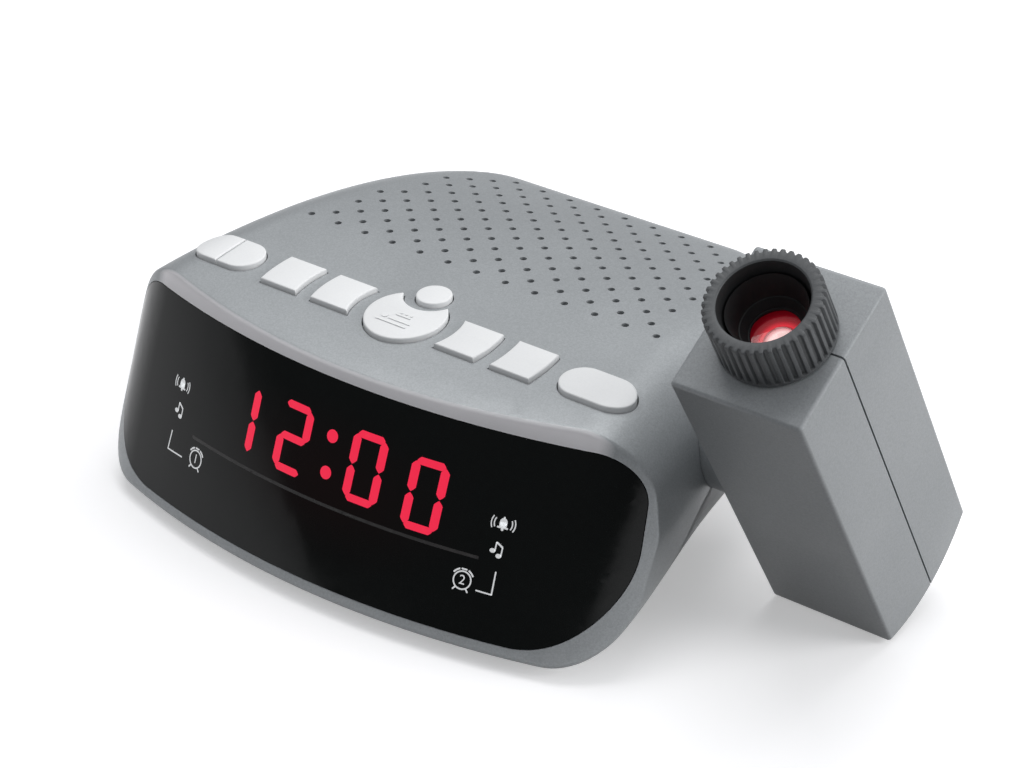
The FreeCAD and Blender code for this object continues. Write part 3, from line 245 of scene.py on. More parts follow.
# %% Smoothing and dressing
def shade(obj, degrees=32):
    """Shade a piece smooth, except across edges sharper than an angle."""
    work_on(obj)
    bpy.ops.object.shade_smooth_by_angle(angle=math.radians(degrees))


def bevel_edges(obj, width, segments, degrees):
    """Soften every edge of a piece that is sharper than an angle."""
    bevel = obj.modifiers.new("soft_edges", "BEVEL")
    bevel.width = width
    bevel.segments = segments
    bevel.limit_method = "ANGLE"
    bevel.angle_limit = math.radians(degrees)
    apply_all(obj)


def dress(obj, body, material, replaced=()):
    """Give a finished piece its material and its body, and hide the solids that it stands for."""
    obj.data.materials.clear()
    obj.data.materials.append(material)
    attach(obj, body)
    if replaced:
        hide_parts(*replaced)
    print(obj.name, "faces", len(obj.data.polygons))
    return obj


print("dressing ready")

# %% [markdown]
# ## Effects that several finishes share
#
# Moulded and lacquered plastic is never one flat colour: the lacquer holds tiny flakes, the mould leaves a
# fine grain, and hands leave a faint sheen. Each of these is one node group, built once. A finish then uses
# it with its own scale and strength.

# %% An empty node group
def new_group(name, inputs, outputs):
    """An empty shader group with its sockets."""
    group = bpy.data.node_groups.new(name, "ShaderNodeTree")
    for label, kind, value in inputs:
        socket = group.interface.new_socket(name=label, in_out="INPUT", socket_type=kind)
        if value is not None:
            socket.default_value = value
    for label, kind in outputs:
        group.interface.new_socket(name=label, in_out="OUTPUT", socket_type=kind)
    return group, group.nodes.new("NodeGroupInput"), group.nodes.new("NodeGroupOutput")


def add(tree, kind, **values):
    """A new node, with values for its inputs by their names, in which an underscore stands for a blank."""
    node = tree.nodes.new(kind)
    for label, value in values.items():
        node.inputs[label.replace("_", " ")].default_value = value
    return node


print("node helpers ready")

# %% The moulded grain
def make_grain():
    """A fine, even grain, with single bright flakes in it."""
    group, source, result = new_group(
        "moulded_grain",
        [("Position", "NodeSocketVector", None), ("Scale", "NodeSocketFloat", 2500.0),
         ("Flakes", "NodeSocketFloat", 0.3)],
        [("Tone", "NodeSocketFloat"), ("Height", "NodeSocketFloat")])
    link = group.links.new
    noise = add(group, "ShaderNodeTexNoise", Detail=3.0)
    flakes = add(group, "ShaderNodeTexVoronoi")
    flakes.feature = "F1"
    split = add(group, "ShaderNodeSeparateColor")
    blend = add(group, "ShaderNodeMix")
    blend.data_type = "FLOAT"
    for texture in (noise, flakes):
        link(source.outputs["Position"], texture.inputs["Vector"])
        link(source.outputs["Scale"], texture.inputs["Scale"])
    link(flakes.outputs["Color"], split.inputs["Color"])
    link(source.outputs["Flakes"], blend.inputs["Factor"])
    link(noise.outputs["Fac"], blend.inputs["A"])
    link(split.outputs["Red"], blend.inputs["B"])
    link(blend.outputs["Result"], result.inputs["Tone"])
    link(noise.outputs["Fac"], result.inputs["Height"])
    return group


GRAIN = make_grain()
print("group:", GRAIN.name)

# %% The sheen of handling
def make_handling():
    """Broad, soft patches where hands have changed the sheen."""
    group, source, result = new_group(
        "handling_sheen",
        [("Position", "NodeSocketVector", None), ("Scale", "NodeSocketFloat", 18.0)],
        [("Mask", "NodeSocketFloat")])
    link = group.links.new
    noise = add(group, "ShaderNodeTexNoise", Detail=6.0, Roughness=0.65)
    ramp = add(group, "ShaderNodeMapRange", From_Min=0.35, From_Max=0.68)
    ramp.interpolation_type = "SMOOTHSTEP"
    link(source.outputs["Position"], noise.inputs["Vector"])
    link(source.outputs["Scale"], noise.inputs["Scale"])
    link(noise.outputs["Fac"], ramp.inputs["Value"])
    link(ramp.outputs["Result"], result.inputs["Mask"])
    return group


HANDLING = make_handling()
print("group:", HANDLING.name)

# %% [markdown]
# ### The painted highlight on the front lip
#
# Along the top of the window the silver rolls over in a lip that catches much more light than the case
# behind it. That highlight is painted: the lip is given a near-white colour. The lip follows the bowed,
# leaning face. So the mask measures how far a point is from the axis of that bow, after the lean is taken
# out, and keeps only the upper part. Drawing the highlight as a strip of its own would leave a seam that the
# real lip does not have.

# %% The mask of the painted lip highlight
# The painted highlight covers the lip this far back and fades in over the next span, in millimetres.
LIP_HIGHLIGHT_DEPTH = 0.6               # how far the bright lip reaches back, in millimetres
LIP_HIGHLIGHT_FADE = 0.5
LIP_HIGHLIGHT_HEIGHTS = (46, 56)        # it fades in between these heights


def make_lip_highlight_mask():
    """A mask for the painted highlight: the upper part of the case that lies within a few millimetres of the
    bowed face.
    """
    group, source, result = new_group("front_lip_painted_highlight", [("Position", "NodeSocketVector", None)],
                                      [("Mask", "NodeSocketFloat")])
    link = group.links.new
    split = add(group, "ShaderNodeSeparateXYZ")
    upright = add(group, "ShaderNodeMath")
    upright.operation = "MULTIPLY_ADD"
    upright.inputs[1].default_value = -math.tan(FACE_LEAN)
    level = add(group, "ShaderNodeCombineXYZ")
    reach = add(group, "ShaderNodeVectorMath")
    reach.operation = "DISTANCE"
    middle = place(0, FACE_TOP_Y - math.tan(FACE_LEAN) * FACE_TOP_Z + FACE_R, 0)
    reach.inputs[1].default_value = (middle.x, middle.y, 0)
    start = (FACE_R - LIP_HIGHLIGHT_DEPTH) * MM
    near = add(group, "ShaderNodeMapRange", From_Min=start, From_Max=start + LIP_HIGHLIGHT_FADE * MM)
    high = add(group, "ShaderNodeMapRange", From_Min=LIP_HIGHLIGHT_HEIGHTS[0] * MM, From_Max=LIP_HIGHLIGHT_HEIGHTS[1] * MM)
    both = add(group, "ShaderNodeMath")
    both.operation = "MULTIPLY"
    link(source.outputs["Position"], split.inputs["Vector"])
    link(split.outputs["Z"], upright.inputs[0])
    link(split.outputs["Y"], upright.inputs[2])
    link(split.outputs["X"], level.inputs["X"])
    link(upright.outputs["Value"], level.inputs["Y"])
    link(level.outputs["Vector"], reach.inputs[0])
    link(reach.outputs["Value"], near.inputs["Value"])
    link(split.outputs["Z"], high.inputs["Value"])
    link(near.outputs["Result"], both.inputs[0])
    link(high.outputs["Result"], both.inputs[1])
    link(both.outputs["Value"], result.inputs["Mask"])
    return group


PAINTED_LIP_HIGHLIGHT = make_lip_highlight_mask()
print("group:", PAINTED_LIP_HIGHLIGHT.name)

# %% [markdown]
# ## Finishes
#
# One function builds them all. It mixes two near colours by the grain, lets the handling mask change the
# roughness, and bumps the surface by the grain's height. What stays the same all over a surface, such as the
# metallic share, is set on the shader itself.

# %% The finish builder
def finish(name, dark, light, rough, grain=2500.0, flakes=0.3, bump=0.05, metallic=0.0, sheen_scale=18.0):
    """A material with grain in its colour and height, and handling in its roughness."""
    material = bpy.data.materials.new(name)
    material.use_nodes = True
    tree = material.node_tree
    tree.nodes.clear()
    output = add(tree, "ShaderNodeOutputMaterial")
    shader = add(tree, "ShaderNodeBsdfPrincipled", Metallic=metallic)
    where = add(tree, "ShaderNodeTexCoord")
    texture = tree.nodes.new("ShaderNodeGroup")
    texture.node_tree = GRAIN
    texture.inputs["Scale"].default_value = grain
    texture.inputs["Flakes"].default_value = flakes
    handled = tree.nodes.new("ShaderNodeGroup")
    handled.node_tree = HANDLING
    handled.inputs["Scale"].default_value = sheen_scale
    colour = tree.nodes.new("ShaderNodeMix")
    colour.data_type = "RGBA"
    colour.inputs["A"].default_value = (*dark, 1)
    colour.inputs["B"].default_value = (*light, 1)
    roughness = add(tree, "ShaderNodeMapRange", To_Min=rough[0], To_Max=rough[1])
    relief = add(tree, "ShaderNodeBump", Strength=bump, Distance=0.1 * MM)
    link = tree.links.new
    link(where.outputs["Object"], texture.inputs["Position"])
    link(where.outputs["Object"], handled.inputs["Position"])
    link(texture.outputs["Tone"], colour.inputs["Factor"])
    link(handled.outputs["Mask"], roughness.inputs["Value"])
    link(texture.outputs["Height"], relief.inputs["Height"])
    link(colour.outputs["Result"], shader.inputs["Base Color"])
    link(roughness.outputs["Result"], shader.inputs["Roughness"])
    link(relief.outputs["Normal"], shader.inputs["Normal"])
    link(shader.outputs["BSDF"], output.inputs["Surface"])
    return material


print("finish builder ready")

# %% [markdown]
# ### Adding to a finish
#
# Some finishes need one more thing: light of their own, or a second colour in one place. The second colour
# is mixed in by a mask between the finish's grain and its shader, so the grain still shows through. A soft
# round mask is a spherical gradient that a mapping node centres and sizes on the piece.

# %% Light, masks and second colours
def shader_of(material):
    """The shader node of a finish."""
    return next(n for n in material.node_tree.nodes if n.type == "BSDF_PRINCIPLED")


def object_place(material):
    """The socket of a finish that gives the place on the piece."""
    return next(n for n in material.node_tree.nodes if n.type == "TEX_COORD").outputs["Object"]


def glow(material, colour, strength):
    """Let a finish give light of its own."""
    shader = shader_of(material)
    shader.inputs["Emission Color"].default_value = (*colour, 1)
    shader.inputs["Emission Strength"].default_value = strength
    return material


def mix_colour(material, mask, colour):
    """Lead a finish's colour towards another one where a mask says so."""
    tree = material.node_tree
    socket = shader_of(material).inputs["Base Color"]
    blend = tree.nodes.new("ShaderNodeMix")
    blend.data_type = "RGBA"
    blend.inputs["B"].default_value = (*colour, 1)
    tree.links.new(socket.links[0].from_socket, blend.inputs["A"])
    tree.links.new(mask, blend.inputs["Factor"])
    tree.links.new(blend.outputs["Result"], socket)


def soft_ball(material, centre, radii):
    """A mask that is 1 at a centre and falls to 0 at the surface of an ellipsoid."""
    tree = material.node_tree
    centring = add(tree, "ShaderNodeMapping", Location=centre, Scale=radii)
    centring.vector_type = "TEXTURE"
    ball = tree.nodes.new("ShaderNodeTexGradient")
    ball.gradient_type = "SPHERICAL"
    tree.links.new(object_place(material), centring.inputs["Vector"])
    tree.links.new(centring.outputs["Vector"], ball.inputs["Vector"])
    return ball.outputs["Fac"]


print("helpers for finishes ready")

# %% [markdown]
# ### Plastic, metal and rubber
#
# Each finish is a dark and a light colour, a span of roughness, and the size of its grain. The outside of
# the clock is silver lacquer on plastic: a little metallic on the upper case, plainer and rougher below and
# on the arm. The keys are white plastic, the ring charcoal. Inside are circuit boards, tinned and zinced
# metal, a paper cone, ferrite and brass.

# %% Silver, keys and ring
silver = finish("silver_lacquer", (0.300, 0.316, 0.326), (0.430, 0.450, 0.464), (0.36, 0.46),
                grain=3200, flakes=0.5, bump=0.06, metallic=0.30)
# The lip's highlight is painted into the silver as a near-white colour under its mask.
lip = silver.node_tree.nodes.new("ShaderNodeGroup")
lip.node_tree = PAINTED_LIP_HIGHLIGHT
silver.node_tree.links.new(object_place(silver), lip.inputs["Position"])
mix_colour(silver, lip.outputs["Mask"], (0.92, 0.90, 0.92))
silver_low = finish("silver_lower", (0.280, 0.295, 0.305), (0.380, 0.398, 0.410), (0.42, 0.52),
                    grain=2600, flakes=0.35, bump=0.10, metallic=0.05)
arm_silver = finish("silver_arm", (0.280, 0.295, 0.306), (0.395, 0.414, 0.428), (0.40, 0.50),
                    grain=3000, flakes=0.5, bump=0.07, metallic=0.05)
key_plastic = finish("key_plastic", (0.830, 0.838, 0.842), (0.900, 0.905, 0.908), (0.34, 0.46),
                     grain=1800, flakes=0.1, bump=0.03)
window_black = finish("window_black", (0.0032, 0.0042, 0.0040), (0.0062, 0.0078, 0.0074), (0.05, 0.10),
                      grain=600, flakes=0.0, bump=0.0, sheen_scale=26)
shader_of(window_black).inputs["Specular IOR Level"].default_value = 0.2
ring_grey = finish("ring_charcoal", (0.066, 0.070, 0.074), (0.112, 0.118, 0.123), (0.42, 0.56),
                   grain=2200, flakes=0.2, bump=0.12)
# This near-black is the black of the lens carrier and the light tunnel, and is also painted into the ring's
# bore as shade.
bore_black_and_shade = finish("bore_black_and_shade", (0.003, 0.003, 0.004), (0.008, 0.008, 0.009), (0.6, 0.75),
                    grain=1500, flakes=0.1, bump=0.1)
print("outer finishes:", len(bpy.data.materials))

# %% Boards, metal, paper and rubber
board_green = finish("board_green", (0.008, 0.070, 0.030), (0.014, 0.105, 0.045), (0.25, 0.4),
                     grain=700, flakes=0.5, bump=0.05)
chip_black = finish("chip_black", (0.010, 0.010, 0.011), (0.022, 0.022, 0.023), (0.45, 0.6), grain=3500,
                    bump=0.15)
zinc = finish("zinc_plate", (0.46, 0.47, 0.48), (0.60, 0.61, 0.62), (0.22, 0.4), grain=1500, flakes=0.5,
              metallic=1.0, bump=0.04)
tin = finish("tin_sheet", (0.48, 0.49, 0.50), (0.62, 0.63, 0.64), (0.28, 0.45), grain=500, flakes=0.6,
             metallic=1.0, bump=0.03)
white_plastic = finish("white_plastic", (0.66, 0.66, 0.64), (0.76, 0.76, 0.74), (0.4, 0.52), grain=1800,
                       flakes=0.1, bump=0.05)
cone_paper = finish("cone_paper", (0.010, 0.010, 0.011), (0.030, 0.030, 0.032), (0.75, 0.9), grain=900,
                    flakes=0.2, bump=0.5)
ferrite = finish("ferrite", (0.040, 0.040, 0.043), (0.075, 0.075, 0.078), (0.6, 0.75), grain=1400,
                 flakes=0.3, bump=0.3)
cell_wrap = finish("cell_wrap", (0.045, 0.060, 0.085), (0.070, 0.088, 0.120), (0.25, 0.4), grain=300,
                   flakes=0.2, bump=0.02, metallic=0.3)
nickel = finish("contact_nickel", (0.56, 0.54, 0.50), (0.70, 0.68, 0.64), (0.15, 0.3), grain=1200,
                metallic=1.0, bump=0.02)
rubber = finish("foot_rubber", (0.012, 0.012, 0.012), (0.028, 0.028, 0.028), (0.7, 0.85), grain=1600,
                flakes=0.3, bump=0.3)
brass = finish("brass_pin", (0.55, 0.38, 0.12), (0.70, 0.50, 0.18), (0.18, 0.3), grain=1500, metallic=1.0,
               bump=0.02)
sleeve = finish("capacitor_sleeve", (0.008, 0.012, 0.022), (0.018, 0.024, 0.040), (0.2, 0.3), grain=500,
                bump=0.02)
dark_plastic = finish("black_plastic", (0.008, 0.008, 0.009), (0.018, 0.018, 0.019), (0.45, 0.6),
                      grain=2200, flakes=0.2, bump=0.12)
print("all plain finishes:", len(bpy.data.materials))

# %% [markdown]
# ### Light and glass
#
# The digits are red segments behind dark plastic. Their colour leans to pink where it is brightest, so the
# light itself is a deep pinkish red of low strength, near the colour that it should have on screen. White
# print on the window is a pale ink with a faint painted glow of its own. The lens is clear glass with no tint.

# %% Light and glass finishes
digit_red = glow(finish("digit_red", (0.24, 0.004, 0.016), (0.34, 0.007, 0.026), (0.3, 0.4), grain=1500,
                        flakes=0.3, bump=0.0), (0.74, 0.012, 0.052), 1.0)
window_line = finish("window_line", (0.013, 0.011, 0.011), (0.019, 0.016, 0.016), (0.25, 0.35), grain=1200,
                     flakes=0.1, bump=0.0)
# The ink is print, not a lamp: its faint glow is painted light that keeps it bright on the dark window.
white_ink_with_painted_glow = glow(finish("white_ink_with_painted_glow", (0.80, 0.81, 0.82), (0.90, 0.91, 0.92), (0.4, 0.5), grain=3000,
                        flakes=0.2, bump=0.05), (0.9, 0.92, 0.93), 0.32)


def make_glass(name, tint, rough):
    """Clear polished glass whose sheen varies a little."""
    material = finish(name, tint, tint, (rough, rough + 0.03), grain=400, bump=0.0, sheen_scale=60)
    shader = shader_of(material)
    shader.inputs["Transmission Weight"].default_value = 1.0
    shader.inputs["IOR"].default_value = 1.49
    return material


clear_glass = make_glass("clear_glass", (0.98, 0.97, 0.97), 0.01)
lamp_glass = glow(make_glass("lamp_glass", (0.95, 0.25, 0.28), 0.1), (1.0, 0.10, 0.12), 0.6)
print("glass made")

# %% [markdown]
# ## Solids that already have the right form
#
# The shells, the keys, the boards and most hidden pieces need no new shape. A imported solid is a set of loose
# triangles, though, and would show them. So each is copied, its doubled points are merged, and it is shaded
# smooth except across sharp edges. Small fillets in the solids then catch the light as a moulded edge does.

# %% Clean copies of the solids
SOLID_MERGE = 0.002 * MM      # closer points of a solid's triangles are one


def clean_copy(node):
    """A merged, smooth copy of a solid."""
    copy = bpy.data.objects.new(node + "_shown", nodes[node].data.copy())
    bpy.context.scene.collection.objects.link(copy)
    if copy.data.has_custom_normals:
        work_on(copy)
        bpy.ops.mesh.customdata_custom_splitnormals_clear()
    edit(copy)
    bpy.ops.object.mode_set(mode="EDIT")
    bpy.ops.mesh.select_all(action="SELECT")
    bpy.ops.mesh.remove_doubles(threshold=SOLID_MERGE)
    bpy.ops.object.mode_set(mode="OBJECT")
    shade(copy)
    return copy


body_of_node = {n: body for body, members in frame["record"]["behaviour"]["bodies"].items() for n in members}
print("nodes with a body:", len(body_of_node))

# %% The finish of every solid
FINISH_OF = {
    "top_case": silver, "bottom_case": silver_low, "battery_door": silver_low, "pivot_bush": arm_silver,
    "arm_front_shell": arm_silver, "arm_rear_shell": arm_silver, "display_window": window_black,
    "rubber_feet": rubber, "key_board": board_green, "key_board_screws": zinc,
    "tact_switches": dark_plastic, "display_module": dark_plastic, "display_face": digit_red,
    "icon_light_guides": white_plastic, "display_board": board_green, "display_board_screws": zinc,
    "main_board": board_green, "main_board_screws": zinc, "main_chip": chip_black, "capacitors": sleeve,
    "tuner_can": tin, "board_connectors": white_plastic, "speaker_frame": tin, "speaker_cone": cone_paper,
    "speaker_magnet": ferrite, "speaker_screws": zinc, "backup_cells": cell_wrap,
    "battery_contacts": nickel, "dc_socket": dark_plastic, "dc_socket_pin": brass,
    "pivot_shaft": white_plastic, "pivot_washer": tin, "pivot_clip": tin,
    "projection_lens": clear_glass, "light_tunnel": bore_black_and_shade, "slide_display": clear_glass,
    "condenser_lens": clear_glass, "projector_lamp": lamp_glass, "lamp_board": board_green,
}
FINISH_OF.update({node: key_plastic for node in nodes if node.endswith("_key")})
shown = {}
for node, material in FINISH_OF.items():
    copy = clean_copy(node)
    if node == "rubber_feet":    # moulded rubber has round rims
        bevel_edges(copy, 0.5 * MM, 3, 60)
        shade(copy, 50)
    shown[node] = dress(copy, body_of_node[node], material, (node,))

# %% [markdown]
# ## The focus ring
#
# The ring that focuses the picture has about forty squared ribs that run out over its top edge, a plain lip
# at its foot, a broad flat rim and a bore that narrows a little. A row of bars round a tube would give such
# ribs too, but would leave hard lines where they meet it. So the whole outline is turned from one circle,
# with eight columns of faces to each rib. Then half of the vertices of every rib are drawn inwards at once,
# which cuts all the grooves and scallops the rim as on the real ring.

# %% The focus ring
RIBS = 42
COLUMNS_PER_RIB = 8
COLUMNS = COLUMNS_PER_RIB * RIBS
RING_R = 13.5
RING_H = 13.0
RING_LOW = 60.4           # the ring's foot, from the pivot along the arm
PLAIN_LIP = 1.0           # no groove runs below this height above the foot
RIB_DEPTH = 0.75
BORE_R = 9.65
NECK_R = 11.0
# Faces nearer to the axis than this are the bore, painted near-black as shade; the plastic there is the ring's
# own charcoal.
RIM_R = 10.4              # everything nearer to the axis is the black bore
ring_outline = [(BORE_R, -2.25), (NECK_R, -2.25), (NECK_R, 0), (RING_R - 0.2, 0), (RING_R, 0.25),
                (RING_R, 0.9), (RING_R, 1.1), (RING_R, RING_H - 0.35), (RING_R - 0.3, RING_H), (10.7, RING_H),
                (10.3, RING_H - 0.35), (BORE_R, RING_H - 5)]
ring = turned("focus_ring_shown", [(r * MM, (RING_LOW + h) * MM) for r, h in ring_outline], COLUMNS)


def in_groove(point, normal):
    """True for the outer vertices between two ribs, above the plain lip."""
    column = round((math.atan2(point.y, point.x) % math.tau) / math.tau * COLUMNS) % COLUMNS_PER_RIB
    outside = math.hypot(point.x, point.y) > (RING_R - 0.5) * MM
    return column < COLUMNS_PER_RIB / 2 and outside and point.z > (RING_LOW + PLAIN_LIP) * MM


moved = pick(ring, in_groove, "VERT")
share = (RING_R - RIB_DEPTH) / RING_R
bpy.ops.transform.resize(value=(share, share, 1), center_override=(0, 0, 0))
bpy.ops.object.mode_set(mode="OBJECT")
bevel_edges(ring, 0.07 * MM, 2, 40)
shade(ring)
print("groove vertices", moved)

# %% The ring's bore, painted dark as shade
inner = [face.index for face in ring.data.polygons if math.hypot(face.center.x, face.center.y) < RIM_R * MM]
move_mesh(ring, arm_place())
print("bore faces", len(inner))
dress(ring, "focus_ring", ring_grey, ("focus_ring",))
# The bore is the ring's own charcoal plastic; its near-black colour here is painted shade.
ring.data.materials.append(bore_black_and_shade)
for index in inner:
    ring.data.polygons[index].material_index = 1

# %% [markdown]
# ## The lens carrier
#
# The tube that slides in the ring carries the lens. The solid is a plain tube with two slots for its guides.
# On the real piece its mouth is a black funnel, which keeps stray light from the picture, and a ring with a
# narrow lip holds the lens down. A tube modelled anew might not fit the ring, so the solid's own mesh is
# shaped further: the inner edge of its mouth is pulled down to make the funnel, and the ring is turned as an
# insert that becomes part of the mesh.

# %% The lens carrier
MOUTH_Z = 70.0            # the tube's mouth, from the pivot along the arm
MOUTH_R = 7.8             # just outside the mouth's inner edge
FUNNEL_DEPTH = 6.0
carrier = clean_copy("lens_carrier")
move_mesh(carrier, arm_place().inverted())
mouth = pick(carrier, lambda point, normal: math.hypot(point.x, point.y) < MOUTH_R * MM
             and point.z > (MOUTH_Z - 0.05) * MM, "VERT")
bpy.ops.transform.translate(value=(0, 0, -FUNNEL_DEPTH * MM))
bpy.ops.object.mode_set(mode="OBJECT")
insert_outline = [(7.59, 60.0), (7.59, 63.9), (7.3, 63.8), (6.1, 61.9), (6.1, 61.6), (5.8, 61.5), (5.7, 61.25),
                  (5.7, 61.05), (7.0, 60.35)]
insert = turned("lens_insert", [(r * MM, h * MM) for r, h in insert_outline], 96)
carrier = join([carrier, insert], "lens_carrier_shown")
shade(carrier)
move_mesh(carrier, arm_place())
print("mouth vertices", mouth)
dress(carrier, "lens_unit", bore_black_and_shade, ("lens_carrier",))

# %% [markdown]
# ## Screws with a cross in the head
#
# The solids of the screws are plain. Seen from below and from behind, each head has a cross recess. A dark
# cross painted on would look flat in slanting light, so the recess is cut: a small cutter is made from two
# crossed bars, narrowed towards its tip, and taken out of every head in turn.

# %% The cutter
BAR_WIDTH = 0.24          # of its length
BAR_HEIGHT = 1.1
BAR_TIP = (0.45, 0.8, 1)  # what is left of length and width at the tip
CROSS_TURN = 0.4          # no screw stops exactly upright


def make_cross(size):
    """Two crossed bars that narrow upwards."""
    bars = []
    for turn in (0, math.pi / 2):
        deselect()
        bpy.ops.mesh.primitive_cube_add(size=1)
        bar = bpy.context.object
        bar.scale = (size, size * BAR_WIDTH, size * BAR_HEIGHT)
        settle(bar)
        pick(bar, lambda point, normal: point.z > 0, "VERT")
        bpy.ops.transform.resize(value=BAR_TIP)
        bpy.ops.object.mode_set(mode="OBJECT")
        move_mesh(bar, Matrix.Rotation(turn + CROSS_TURN, 4, "Z"))
        bars.append(bar)
    return join(bars, "cross_cutter")


print("cutter ready")

# %% Cross recesses
def cut_crosses(node, inward, size):
    """Cut a cross into the head of every screw of a node; inward points from a head along its shank."""
    copy = clean_copy(node)
    bpy.ops.object.mode_set(mode="EDIT")
    bpy.ops.mesh.select_all(action="SELECT")
    bpy.ops.mesh.separate(type="LOOSE")
    bpy.ops.object.mode_set(mode="OBJECT")
    screws = list(bpy.context.selected_objects)
    for screw in screws:
        points = [v.co.copy() for v in screw.data.vertices]
        start = min(p.dot(inward) for p in points)
        head = [p for p in points if p.dot(inward) < start + 0.01 * MM]
        centre = sum(head, Vector()) / len(head)
        cutter = make_cross(size)
        move_mesh(cutter, Matrix.Translation(centre) @ inward.to_track_quat("Z", "Y").to_matrix().to_4x4())
        recess = screw.modifiers.new("recess", "BOOLEAN")
        recess.operation = "DIFFERENCE"
        recess.solver = "EXACT"
        recess.use_self = True
        recess.object = cutter
        apply_all(screw)
        bpy.data.objects.remove(cutter)
    whole = join(screws, node + "_shown")
    shade(whole)
    return dress(whole, body_of_node[node], zinc, (node,))


ARM_BACKWARD = (arm_place().to_3x3() @ Vector((0, 1, 0))).normalized()
cut_crosses("case_screws", Vector((0, 0, 1)), 2.6 * MM)
cut_crosses("arm_screws", -ARM_BACKWARD, 2.0 * MM)

# %% [markdown]
# ## The light behind the lens
#
# Deep in the bore the lens shows a bright pinkish disc in a red haze. It is the lamp, seen through the
# lenses. A real lamp placed there would light the whole bore, so a shallow dome just under the lens glows
# instead: strongest in the middle, by a gradient that is centred on the dome, and deep red at the rim.

# %% The glow under the lens
GLOW_Z = 56.6 * MM
GLOW_R = 6.6 * MM

deselect()
bpy.ops.mesh.primitive_circle_add(vertices=48, radius=GLOW_R, fill_type="NGON", location=(0, 0, GLOW_Z))
lamp_disc = bpy.context.object
lamp_disc.name = "lens_glow"
settle(lamp_disc)
pick(lamp_disc, lambda centre, normal: True)
for rise in (0.25, 0.15):
    bpy.ops.mesh.inset(thickness=GLOW_R * 0.35)
    bpy.ops.transform.translate(value=(0, 0, rise * MM))
bpy.ops.object.mode_set(mode="OBJECT")
move_mesh(lamp_disc, arm_place())
print("glow faces", len(lamp_disc.data.polygons))

# %% The colours of the glow
lens_light = finish("lens_light", (0.30, 0.004, 0.010), (0.36, 0.008, 0.014), (0.3, 0.4), bump=0.0)
glow_centre = arm_place() @ Vector((0.8 * MM, -0.6 * MM, GLOW_Z))
tree = lens_light.node_tree
ramp = tree.nodes.new("ShaderNodeValToRGB")
ramp.color_ramp.elements[0].color = (0.06, 0.0, 0.002, 1)
ramp.color_ramp.elements[1].color = (0.80, 0.56, 0.54, 1)
ramp.color_ramp.elements[1].position = 0.62
for position, colour in ((0.25, (0.20, 0.003, 0.008, 1)), (0.40, (0.62, 0.015, 0.03, 1)),
                         (0.46, (0.16, 0.008, 0.012, 1)), (0.52, (0.55, 0.22, 0.22, 1))):
    ramp.color_ramp.elements.new(position).color = colour
tree.links.new(soft_ball(lens_light, glow_centre, (GLOW_R, GLOW_R, GLOW_R)), ramp.inputs["Fac"])
tree.links.new(ramp.outputs["Color"], shader_of(lens_light).inputs["Emission Color"])
shader_of(lens_light).inputs["Emission Strength"].default_value = 1.2
dress(lamp_disc, "lens_unit", lens_light)

# %% [markdown]
# ## The lit digits
#
# The time is shown by straight segments, as on any such display. One segment is modelled flat: a rectangle
# whose four corners are cut and softened by a vertex bevel. It is copied to each place of a lit segment, the
# copies become one mesh, and that mesh is laid on the bowed window with a shrinkwrap, a hair in front of it.
# A drawn texture could show the digits too, but would blur when seen close.

# %% Places on the leaning face
def face_point(x, slope):
    """A point just in front of the window, from millimetres right and up along the leaning face."""
    z = FACE_TOP_Z + slope * math.cos(FACE_LEAN)
    y = FACE_TOP_Y + math.tan(FACE_LEAN) * (z - FACE_TOP_Z) + FACE_R - math.sqrt(FACE_R ** 2 - x * x)
    return place(x, y, z)


def face_place(x, slope):
    """Stands a flat drawing, made in X and Y, on the leaning face at a point."""
    return Matrix.Translation(face_point(x, slope)) @ Matrix.Rotation(math.pi / 2 - FACE_LEAN, 4, "X")


print("upper edge of the face", tuple(round(value, 4) for value in face_point(0, 0)))

# %% One segment
FLAT_STROKE = 1.9 * MM
TALL_STROKE = 2.35 * MM
DIGIT_W = 7.9 * MM
DIGIT_HALF_H = 7.95 * MM
POINT = 0.49              # a corner cut of nearly half the stroke leaves a pointed end


def make_segment(length, stroke, name):
    """A flat bar along X with rounded points."""
    deselect()
    bpy.ops.mesh.primitive_plane_add(size=1)
    bar = bpy.context.object
    bar.name = name
    bar.scale = (length, stroke, 1)
    settle(bar)
    edit(bar, "VERT")
    bpy.ops.object.mode_set(mode="EDIT")
    bpy.ops.mesh.select_all(action="SELECT")
    bpy.ops.mesh.bevel(offset=stroke * POINT, affect="VERTICES", segments=4, profile=0.3)
    bpy.ops.object.mode_set(mode="OBJECT")
    return bar


across_bar = make_segment(DIGIT_W - 0.1 * MM, FLAT_STROKE, "segment_across")
tall_bar = make_segment(DIGIT_HALF_H - 0.3 * MM, TALL_STROKE, "segment_up")
move_mesh(tall_bar, Matrix.Rotation(math.pi / 2, 4, "Z"))
print("segment faces", len(across_bar.data.polygons))

# %% The time twelve o'clock
SEGMENT_PLACES = {
    "top": (across_bar, 0, DIGIT_HALF_H), "middle": (across_bar, 0, 0),
    "bottom": (across_bar, 0, -DIGIT_HALF_H),
    "upper_left": (tall_bar, -DIGIT_W / 2, DIGIT_HALF_H / 2),
    "upper_right": (tall_bar, DIGIT_W / 2, DIGIT_HALF_H / 2),
    "lower_left": (tall_bar, -DIGIT_W / 2, -DIGIT_HALF_H / 2),
    "lower_right": (tall_bar, DIGIT_W / 2, -DIGIT_HALF_H / 2),
}
ONE = ("upper_right", "lower_right")
TWO = ("top", "upper_right", "middle", "lower_left", "bottom")
ZERO = ("top", "upper_left", "upper_right", "lower_left", "lower_right", "bottom")
DIGITS = ((ONE, -27.95, -26.8), (TWO, -10.35, -26.3), (ZERO, 12.35, -26.5), (ZERO, 29.6, -28.0))
DOTS = ((1.2, -21.8), (1.5, -30.9))
